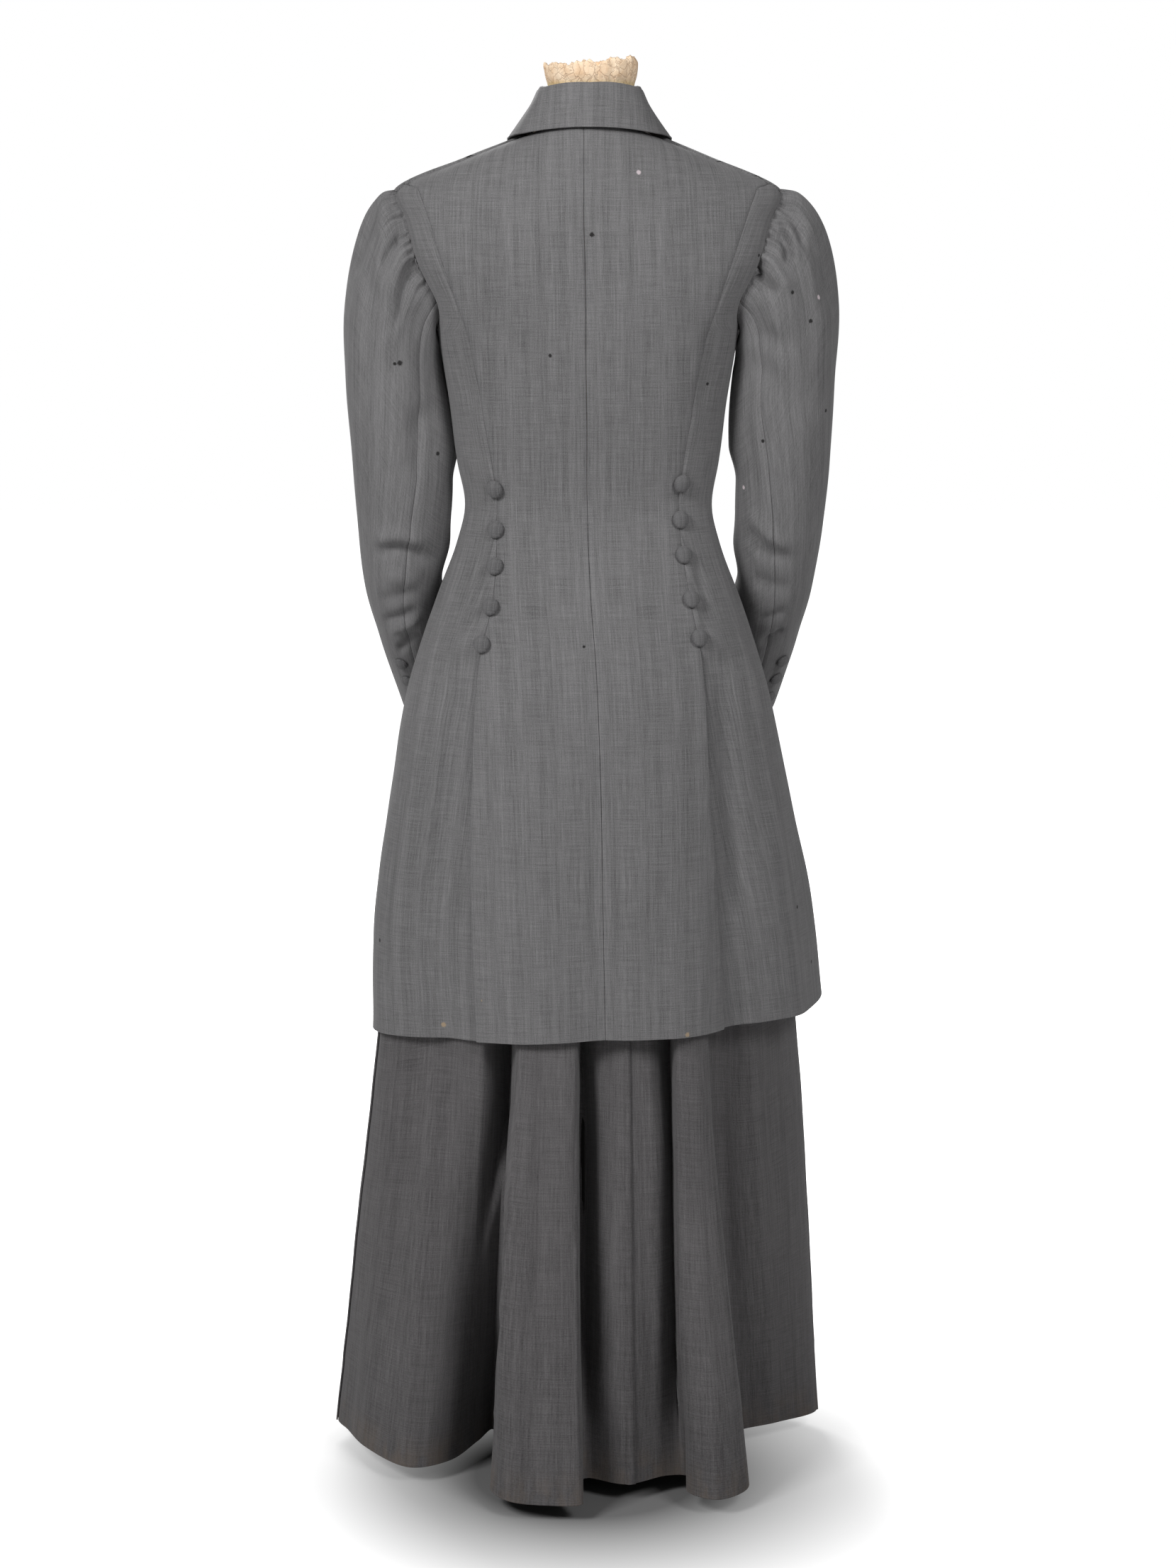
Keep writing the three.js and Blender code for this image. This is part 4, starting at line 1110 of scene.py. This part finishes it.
def wool(name, dark, light, soil=None, marks=()):
    """Heathered wool: long uneven warp streaks, broad faint stripes, short weft slubs and nap."""
    material, tree, shader = nodes_of(name)
    grain = tree.nodes.new("ShaderNodeUVMap")
    grain.uv_map = "grain"
    grain = grain.outputs[0]
    place = object_place(tree)
    total = sum(row["weight"] for row in each(WOOL_LAYERS))
    layers = {}
    tone = 0.0
    for row in each(WOOL_LAYERS):
        scale = (row["across"], row["along"], row["deep"])
        source = place if row["name"] == "cloudy" else grain
        value = noise(tree, source, scale, row["detail"], row["rough"], row["seed"])
        layers[row["name"]] = value
        tone = maths(tree, "MULTIPLY_ADD", value, row["weight"] / total, tone)
    share = spread(tree, tone, *WOOL_TONE, 0, 1)
    colour = blend_colour(tree, share, dark, light)
    if soil is not None:
        low = spread(tree, height_of(tree, place), *SOIL_FADE, 1, 0)
        patch = spread(tree, noise(tree, place, (40, 40, 20), 4, 0.6, 2.2), 0.4, 0.66, 0, 1)
        amount = maths(tree, "MULTIPLY", maths(tree, "MULTIPLY", low, patch), 0.5)
        colour = blend_colour(tree, amount, colour, soil)
    ragged = tree.nodes.new("ShaderNodeTexNoise")
    given(ragged, Scale=420, Detail=3)
    for x, y, z, radius, shade in marks:
        apart = tree.nodes.new("ShaderNodeVectorMath")
        apart.operation = "DISTANCE"
        apart.inputs[1].default_value = (x * MM, y * MM, z * MM)
        tree.links.new(place, apart.inputs[0])
        edge = maths(tree, "MULTIPLY_ADD", ragged.outputs["Fac"], radius * MM * 1.6, apart.outputs["Value"])
        inside = spread(tree, edge, radius * MM * 1.6, radius * MM * 1.95, 0.9, 0)
        colour = blend_colour(tree, inside, colour, shade)
    tree.links.new(colour, shader.inputs["Base Color"])
    threads = maths(tree, "MULTIPLY", layers["slubs"], 0.5)
    threads = maths(tree, "MULTIPLY_ADD", layers["warp"], 0.6, threads)
    threads = maths(tree, "MULTIPLY_ADD", layers["nap"], 0.5, threads)
    bumped(tree, shader, threads, 0.3, 0.0006)
    given(shader, Roughness=0.95, Specular_IOR_Level=0.12, Sheen_Weight=0.12, Sheen_Roughness=0.5)
    return material


def crackled_cover(name):
    """The form's old cover: a tan skin with fine cracks, worn patches and a yellowed band."""
    material, tree, shader = nodes_of(name)
    place = object_place(tree)
    cells = tree.nodes.new("ShaderNodeTexVoronoi")
    cells.feature = "DISTANCE_TO_EDGE"
    given(cells, Scale=110)
    warped = noise(tree, place, (60, 60, 60), 3, 0.6, 4.4)
    moved = tree.nodes.new("ShaderNodeVectorMath")
    moved.operation = "MULTIPLY_ADD"
    moved.inputs[1].default_value = (0.02, 0.02, 0.02)
    tree.links.new(warped, moved.inputs[0])
    tree.links.new(place, moved.inputs[2])
    tree.links.new(moved.outputs[0], cells.inputs["Vector"])
    crack = spread(tree, cells.outputs["Distance"], 0.0, 0.07, 1, 0)
    patch = spread(tree, noise(tree, place, (70, 70, 70), 4, 0.65, 9.1), 0.38, 0.66, 0, 1)
    colour = blend_colour(tree, patch, linear(244, 221, 192), linear(220, 187, 152))
    level = height_of(tree, place)
    top = spread(tree, level, *BAND_TOP, 0, 0.8)
    foot = spread(tree, level, *BAND_FOOT, 0, 1)
    band = maths(tree, "MULTIPLY", top, foot)
    colour = blend_colour(tree, band, colour, linear(206, 184, 118))
    colour = blend_colour(tree, maths(tree, "MULTIPLY", crack, 0.35), colour, linear(150, 104, 72))
    tree.links.new(colour, shader.inputs["Base Color"])
    bumped(tree, shader, maths(tree, "MULTIPLY_ADD", crack, -0.8, patch), 0.5, 0.001)
    given(shader, Roughness=0.75)
    return material


def metal(name):
    material, tree, shader = nodes_of(name)
    place = object_place(tree)
    wear = noise(tree, place, (40, 40, 8), 4, 0.6, 2.0)
    colour = blend_colour(tree, wear, linear(30, 30, 31), linear(66, 64, 62))
    tree.links.new(colour, shader.inputs["Base Color"])
    tree.links.new(spread(tree, wear, 0.3, 0.7, 0.35, 0.6), shader.inputs["Roughness"])
    given(shader, Metallic=0.8)
    return material


JACKET_TONES = (linear(72, 71.5, 72), linear(125, 124, 125))
SKIRT_TONES = (linear(56, 54, 55), linear(105, 103, 104))
# The buttons' wool is a darker copy of the jacket's: painted shade, standing in for the shade round their
# rims.
BUTTON_TONES = (linear(60, 60, 61), linear(112, 111, 112))
HEM_SOIL = linear(112, 98, 84)
HOLE = linear(22, 20, 20)
FRAYED = linear(150, 133, 110)
LINT = linear(190, 178, 182)
MARK_REACH = 8
MARK_DEPTH = 12


def placed_marks():
    """Each mark's place on the cloth, on the plane that fits the rearmost cloth near its x and z."""
    shades = {"hole": HOLE, "frayed": FRAYED, "lint": LINT}
    surface = np.concatenate(list(OUTER_POINTS.values()))
    made = []
    for mark in each(MARKS):
        away = np.hypot(surface[:, 0] - mark["x"], surface[:, 2] - mark["z"])
        near = surface[away < MARK_REACH]
        near = near[near[:, 1] > near[:, 1].max() - MARK_DEPTH]
        rows = np.column_stack([np.ones(len(near)), near[:, 0] - mark["x"], near[:, 2] - mark["z"]])
        y = np.linalg.lstsq(rows, near[:, 1], rcond=None)[0][0]
        made.append((mark["x"], y, mark["z"], mark["radius"], shades[mark["kind"]]))
    return made


# Pieces


def keep(obj, node):
    """The piece stands for a node of the frame and rides on the one body."""
    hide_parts(node)
    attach(obj, "root")
    return obj


def sided(name, side):
    return f"{name}_{'left' if side == LEFT else 'right'}"


def cloth_piece(node, points, hint, material, relief, grain=0.5):
    """A piece of cloth that stands for its node; its row in the table of cuts is looked up and not used."""
    obj = keep(cloth(f"{node}_cloth", points, hint, material, relief, grain), node)
    declare(obj, node)


def declare(obj, node):
    cut = next(row for row in each(CUTS) if node.startswith(row["piece"]))


def jacket_piece(node, points, relief, grain=0.5, hint=from_middle):
    cloth_piece(node, points, hint, JACKET_WOOL, relief, grain)


def jacket_back(side):
    u, level = np.meshgrid(edged(40), BACK_ROWS)
    points = body_point(mix(centre_seam_turn(level), back_seam_turn(side, level), u), level)
    relief = seam_relief(left=0.55, part="body")
    jacket_piece(sided("jacket_back", side), points, relief, 0)


def jacket_side(side):
    u, level = np.meshgrid(edged(26, 0.01), SIDE_ROWS)
    sunk = smooth(PLEAT_TOP, PLEAT_TOP - 22, level)
    lapped = smooth(PLEAT_TOP - 12, PLEAT_TOP - 60, level)
    under = np.degrees(PLEAT_UNDERLAP / along(BODY, "level", level, "half"))
    start = back_seam_turn(side, level) - side * under * lapped
    end = np.where(level > ARMHOLE_LOW, armhole_turn(side, level, "backTurn"), side * 90)
    points = inside_point(mix(start, end, u), level, PLEAT_SINK * sunk * (1 - smooth(0.1, 0.6, u)))
    relief = seam_relief(part="body")
    jacket_piece(sided("jacket_side", side), points, relief)


def jacket_front(side):
    u, level = np.meshgrid(edged(50, 0.004), BACK_ROWS)
    outer = np.where(level > ARMHOLE_LOW, armhole_turn(side, level, "frontTurn"), side * 90)
    points = front_point(side, mix(outer, front_edge_turn(side, level), u), level)

    def edge_stitches(places, across, down):
        return stitched(across[:, -1:] - across - FRONT_STITCHES) * smooth(1180, 1150, places[..., 2])

    relief = seam_relief(part="body", extra=edge_stitches)
    jacket_piece(sided("jacket_front", side), points, relief, 0.99)


def revers(side):
    u, level = np.meshgrid(edged(16, 0.015), steps(64, BREAK_LEVEL + 18, REVERS_TOP))
    rise = (level - BREAK_LEVEL) / (REVERS_TOP - BREAK_LEVEL)
    edge = front_point(side, front_edge_turn(side, level), level)[..., 0]
    width = mix(REVERS_WIDTH_LOW, REVERS_WIDTH, rise**0.7)
    turn = side * 180 - turn_at(edge + side * (1 + width * u), level)
    lift = unit(point(sine(turn), cosine(turn), 0.1))
    points = front_point(side, turn, level) + lift * (WALL + REST_GAP + REVERS_LIFT)

    def edge_stitches(places, across, down):
        return stitched(across[:, -1:] - across - EDGE_STITCHES)

    relief = seam_relief(extra=edge_stitches, high=0.5)
    jacket_piece(sided("revers", side), points, relief)


def collar():
    at, w = np.meshgrid(edged(130, 0.003) * 2 - 1, edged(34, 0.008))
    points = collar_point(at, w)

    def hint(places):
        return np.array([0, 1, 0.5]) + 0 * places

    def edge_stitches(places, across, down):
        return stitched(down[-1:] - down - EDGE_STITCHES)

    relief = seam_relief(high=0.5, extra=edge_stitches)
    jacket_piece("collar", points, relief, hint=hint)


def tucked_edge(side, turn, points):
    """Rows that carry the sleeve's edge in under the body's cloth at the armhole."""
    wrapped = np.mod(turn, 360)
    level = armhole_level(wrapped)
    body_turn = np.where(
        wrapped <= 180,
        armhole_turn(side, level, "backTurn"),
        armhole_turn(side, level, "frontTurn"),
    )
    normal = slope_normal(body_point, body_turn, level, from_middle)
    course = points[3] - points[0]
    course = unit(course - normal * np.sum(course * normal, axis=-1, keepdims=True))
    rows = [points[0] - normal * sunk - course * back for sunk, back in TUCK]
    return np.concatenate([rows, points])


def sleeve(side, under):
    columns = edged(36, 0.012) if under else edged(168, 0.003)
    u, at = np.meshgrid(columns, SLEEVE_ROWS)
    seam = along(SLEEVE_SEAM, "at", at, "turn")
    turn = mix(seam, SLEEVE_FRONT_SEAM, u) if under else mix(SLEEVE_FRONT_SEAM - 360, seam, u)
    points = tucked_edge(side, turn[0], sleeve_point(side, turn, at))
    middle = (oval_point(side, 0 * at, at) + oval_point(side, 0 * at + 180, at)) / 2
    extended = np.concatenate([np.repeat(middle[:1], len(TUCK), axis=0), middle])
    all_turns = np.concatenate([np.repeat(turn[:1], len(TUCK), axis=0), turn])

    def hint(places):
        return places - extended

    pressed = np.concatenate([np.repeat(at[:1], len(TUCK), axis=0), at])
    inner_side = bell(np.mod(all_turns, 360) - 180, 34)
    bulge = UNDERARM_BULGE * inner_side * smooth(0, 0.1, pressed) * smooth(0.5, 0.42, pressed)

    def head(places, across, down):
        return gathers(all_turns, down) + bulge

    relief = seam_relief(high=0.6, extra=head, part=sided("sleeve", side))
    node = sided("sleeve_under" if under else "sleeve_top", side)
    jacket_piece(node, points, relief, "columns", hint)


def skirt_piece(node, start, end, per_line):
    count = len(SKIRT_LINES["name"])
    first = skirt_line(start)
    last = skirt_line(end) + (count if skirt_line(end) < first else 0)
    line = mix(first, last, edged((last - first) * per_line, 0.02 / (last - first)))
    lap = len(SEAM_LAP)
    line = np.concatenate([line, last + SEAM_LAP])
    points = spline(skirt_rings(SKIRT_ROWS), line, closed=True)
    if node.startswith("skirt_back"):
        points = deepened(points)

    def hint(places):
        go = np.gradient(places, axis=1)
        return point(-go[..., 1], go[..., 0], 0 * go[..., 0])

    def deep_hem(places, across, down):
        lift = stitched(down - SKIRT_HEM_DEPTH, 0.55, 1.4)
        lift = lift + 0.4 * smooth(SKIRT_HEM_DEPTH, SKIRT_HEM_DEPTH - 3, down)
        lift[:, -lap:] -= SEAM_LAP_SUNK
        return lift + roll(across[:, -lap - 1:-lap] - across, 0.5)

    relief = seam_relief(left=0.5, right=0, extra=deep_hem, part="skirt")
    cloth_piece(node, points, hint, SKIRT_WOOL, relief, "columns")


def waistband():
    turns = steps(96, 0, 360)[:-1]

    def ring(inset, level):
        made = inside_point(turns, level, inset + 0 * turns)
        made[:, 2] = level
        return made

    outer = WAIST_INSET + 0.2
    heights = steps(8, SKIRT_TOP + SEAM_GAP, WAISTBAND_TOP)
    loops = [ring(outer, z) for z in heights] + [ring(outer + WALL, z) for z in heights[::-1]]
    obj = keep(ring_mesh("skirt_waistband_cloth", loops, SKIRT_WOOL), "skirt_waistband")
    declare(obj, "skirt_waistband")


def form():
    """The form's torso and its neck, which ends in a torn, uneven rim."""
    turns = steps(144, 0, 360)[:-1]
    loops = []
    for level in steps(70, FORM_LOW, NECK_LEVEL):
        loops.append(inside_point(turns, level, along(FORM_CLEARANCE, "level", level, "inset") + 0 * turns))
    loops[0][:, 2] = FORM_LOW
    sin = sine(turns)
    cos = cosine(turns)

    def ring(z, more=0.0):
        x = NECK_CENTRE_X + sin * NECK_HALF_WIDTH
        split = 1.6 * bell(x - NECK_SPLIT_X, 1.1) * (cos > 0)
        folds = 0.5 * sine(turns * 23) * sine(turns * 5 + 40)
        folds = folds + 0.9 * bell(x - NECK_SPLIT_X - 3, 1.6) * (cos > 0)
        less = along(NECK_RINGS, "z", z, "less") + more + (split - folds) * smooth(1440, 1462, z)
        across = NECK_CENTRE_X + (NECK_HALF_WIDTH - less) * sin
        return point(across, NECK_CENTRE_Y + (NECK_HALF_DEPTH - less) * cos, z)

    torn = 1.4 * sine(turns * 9 + 20) + 1.1 * sine(turns * 21 + 70)
    torn = torn + 0.8 * sine(turns * 47)
    rim = NECK_TOP - 3.5 - 4 * sine(turns + 25) + torn
    rim = rim - 3 * bell(NECK_CENTRE_X + sin * NECK_HALF_WIDTH - NECK_SPLIT_X, 2) * (cos > 0)
    for share in steps(22):
        loops.append(ring(mix(1434 + 0 * rim, rim, share), -0.7 * smooth(0.85, 1, share)))
    for more, deeper in NECK_INSIDE:
        level_rim = mix(rim, rim.mean(), min(deeper / NECK_EVEN_DEPTH, 1))
        loops.append(ring(level_rim - deeper, more))
    keep(ring_mesh("form_torso_cover", loops, FORM_COVER, closed_ring=False), "form_torso")


def button(node, place, normal, radius, seat):
    """A covered button: a low dome with its cloth drawn in under the rim."""
    height = BUTTON_HEIGHT * radius / BUTTON_RADIUS
    turns = np.radians(steps(40, 0, 360)[:-1])
    side_way = unit(np.cross(normal, [0, 0, 1.0]))
    up_way = np.cross(side_way, normal)
    profile = np.array(BUTTON_PROFILE) * (radius, height)
    shares = spline(np.column_stack([profile, 0 * profile[:, 0]]), steps(22, 0, len(profile) - 1))
    loops = []
    flat = []
    for out, up, _ in shares:
        crimped = out * (1 + 0.012 * np.sin(turns * 11 + 1) * smooth(0.6, 1, out / radius))
        x, y = crimped * np.cos(turns), crimped * np.sin(turns)
        flat.append(np.stack([x, y], axis=-1))
        loops.append(place + normal * (seat + up) + x[:, None] * side_way + y[:, None] * up_way)
    obj = ring_mesh(f"{node}_covered", loops, BUTTON_WOOL, closed_ring=False)
    spots = np.concatenate([np.concatenate(flat), np.zeros((2, 2))]) * MM
    loop_ids = np.zeros(len(obj.data.loops), int)
    obj.data.loops.foreach_get("vertex_index", loop_ids)
    obj.data.uv_layers["grain"].data.foreach_set("uv", spots[loop_ids].reshape(-1))
    keep(obj, node)


def body_button(node, turn, level, seat):
    turn, level = np.array(float(turn)), np.array(float(level))
    normal = slope_normal(body_point, turn, level, from_middle)
    button(node, body_point(turn, level), normal, BUTTON_RADIUS, seat)


def buttons():
    for index, row in enumerate(each(BACK_BUTTONS), 1):
        for side, key in ((LEFT, "left"), (RIGHT, "right")):
            turn = back_seam_turn(side, row[key])
            body_button(f"back_button_{key}_{index}", turn, row[key], BUTTON_SEAT)
    for index, level in enumerate(FRONT_BUTTON_LEVELS, 1):
        body_button(f"front_button_{index}", 180, level, LAP_LIFT + FRONT_BUTTON_SEAT)
    for side in (LEFT, RIGHT):
        back = CUFF_BUTTON_TURN_LEFT if side == LEFT else CUFF_BUTTON_TURN_RIGHT
        for index, at in enumerate(CUFF_BUTTON_PLACES, 1):
            turn = along(SLEEVE_SEAM, "at", at, "turn") - back
            place = sleeve_point(side, turn, at)
            far = oval_point(side, turn + 180, at)

            def near(t, a, side=side, turn=turn):
                return sleeve_point(side, turn + t * 90, a)

            normal = slope_normal(near, 0.0, at, lambda spot, far=far: spot - far)
            node = f"{sided('cuff_button', side)}_{index}"
            button(node, place, normal, CUFF_BUTTON_RADIUS, CUFF_BUTTON_SEAT)


JACKET_WOOL = bpy.data.materials.new("jacket_wool")
SKIRT_WOOL = wool("skirt_wool", *SKIRT_TONES, HEM_SOIL)
BUTTON_WOOL = wool("button_wool", *BUTTON_TONES)
FORM_COVER = crackled_cover("form_cover")
STAND_METAL = metal("stand_metal")

for side in (LEFT, RIGHT):
    jacket_back(side)
    jacket_side(side)
    jacket_front(side)
    revers(side)
    sleeve(side, False)
    sleeve(side, True)
collar()
jacket_wool = wool("jacket_wool_marked", *JACKET_TONES, marks=placed_marks())
JACKET_WOOL.user_remap(jacket_wool)
waistband()
skirt_piece("skirt_front", "front_right", "front_left", 30)
skirt_piece("skirt_side_left", "front_left", "side_left", 26)
skirt_piece("skirt_back_left", "side_left", "e_face", 11)
skirt_piece("skirt_back_right", "e_face", "side_right", 11)
skirt_piece("skirt_side_right", "side_right", "front_right", 26)
form()
buttons()

for node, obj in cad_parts.items():
    if node.startswith("stand_"):
        obj.data.materials.clear()
        obj.data.materials.append(STAND_METAL)

# Floor, light and camera

FLOOR_HALF = 12
# Where the floor's painted shadow round the part starts and fades out, in metres from its middle.
PAINTED_SHADOW_REACH = (0.12, 0.5)


def camera_only(tree, strength):
    """A strength that only what the camera sees directly gets."""
    path = tree.nodes.new("ShaderNodeLightPath")
    return maths(tree, "MULTIPLY", path.outputs["Is Camera Ray"], strength)


def floor():
    material, tree, shader = nodes_of("floor")
    given(shader, Roughness=1, Specular_IOR_Level=0, Emission_Color=(1, 1, 1, 1))
    place = object_place(tree)
    reach = tree.nodes.new("ShaderNodeVectorMath")
    reach.operation = "LENGTH"
    tree.links.new(place, reach.inputs[0])
    # Painted shadow: the floor's base colour and its camera-only glow both fall off towards the part, so
    # the floor is painted darker round and under it.
    glow = spread(tree, reach.outputs["Value"], *PAINTED_SHADOW_REACH, 0.0, 1.1)
    shade = spread(tree, reach.outputs["Value"], *PAINTED_SHADOW_REACH, 0.2, 0.75)
    tree.links.new(shade, shader.inputs["Base Color"])
    tree.links.new(maths(tree, "MULTIPLY", glow, camera_only(tree, 1)), shader.inputs["Emission Strength"])
    mesh = bpy.data.meshes.new("floor")
    corners = [(x * FLOOR_HALF, y * FLOOR_HALF, 0) for x, y in ((-1, -1), (1, -1), (1, 1), (-1, 1))]
    mesh.from_pydata(corners, [], [(0, 1, 2, 3)])
    mesh.materials.append(material)
    obj = placed("floor", mesh)


def lamp(row):
    light = bpy.data.lights.new(row["name"], "AREA")
    light.size = row["size"]
    light.energy = row["watts"]
    obj = placed(row["name"], light)
    place = Vector((row["x"], row["y"], row["z"]))
    aim = Vector((0, 0, row["aimZ"]))
    obj.location = place
    obj.rotation_euler = (aim - place).to_track_quat("-Z", "Y").to_euler()


WORLD_FILL = 0.15
WORLD_SEEN = 1.0


def lights():
    world = bpy.data.worlds.new("studio")
    world.use_nodes = True
    tree = world.node_tree
    background = tree.nodes["Background"]
    background.inputs[0].default_value = (1, 1, 1, 1)
    seen = camera_only(tree, WORLD_SEEN - WORLD_FILL)
    tree.links.new(maths(tree, "ADD", seen, WORLD_FILL), background.inputs[1])
    bpy.context.scene.world = world
    for row in each(LAMPS):
        lamp(row)


CAMERA_PLACE = (0, 3.4, 1.325)
CAMERA_TILT = 9.6
CAMERA_LENS = 76.6


def camera():
    data = bpy.data.cameras.new("camera")
    data.lens = CAMERA_LENS
    obj = placed("camera", data)
    obj.location = CAMERA_PLACE
    obj.rotation_euler = (math.radians(90 - CAMERA_TILT), 0, math.radians(180))
    bpy.context.scene.camera = obj


bpy.context.scene.view_settings.view_transform = "Standard"
floor()
lights()
camera()
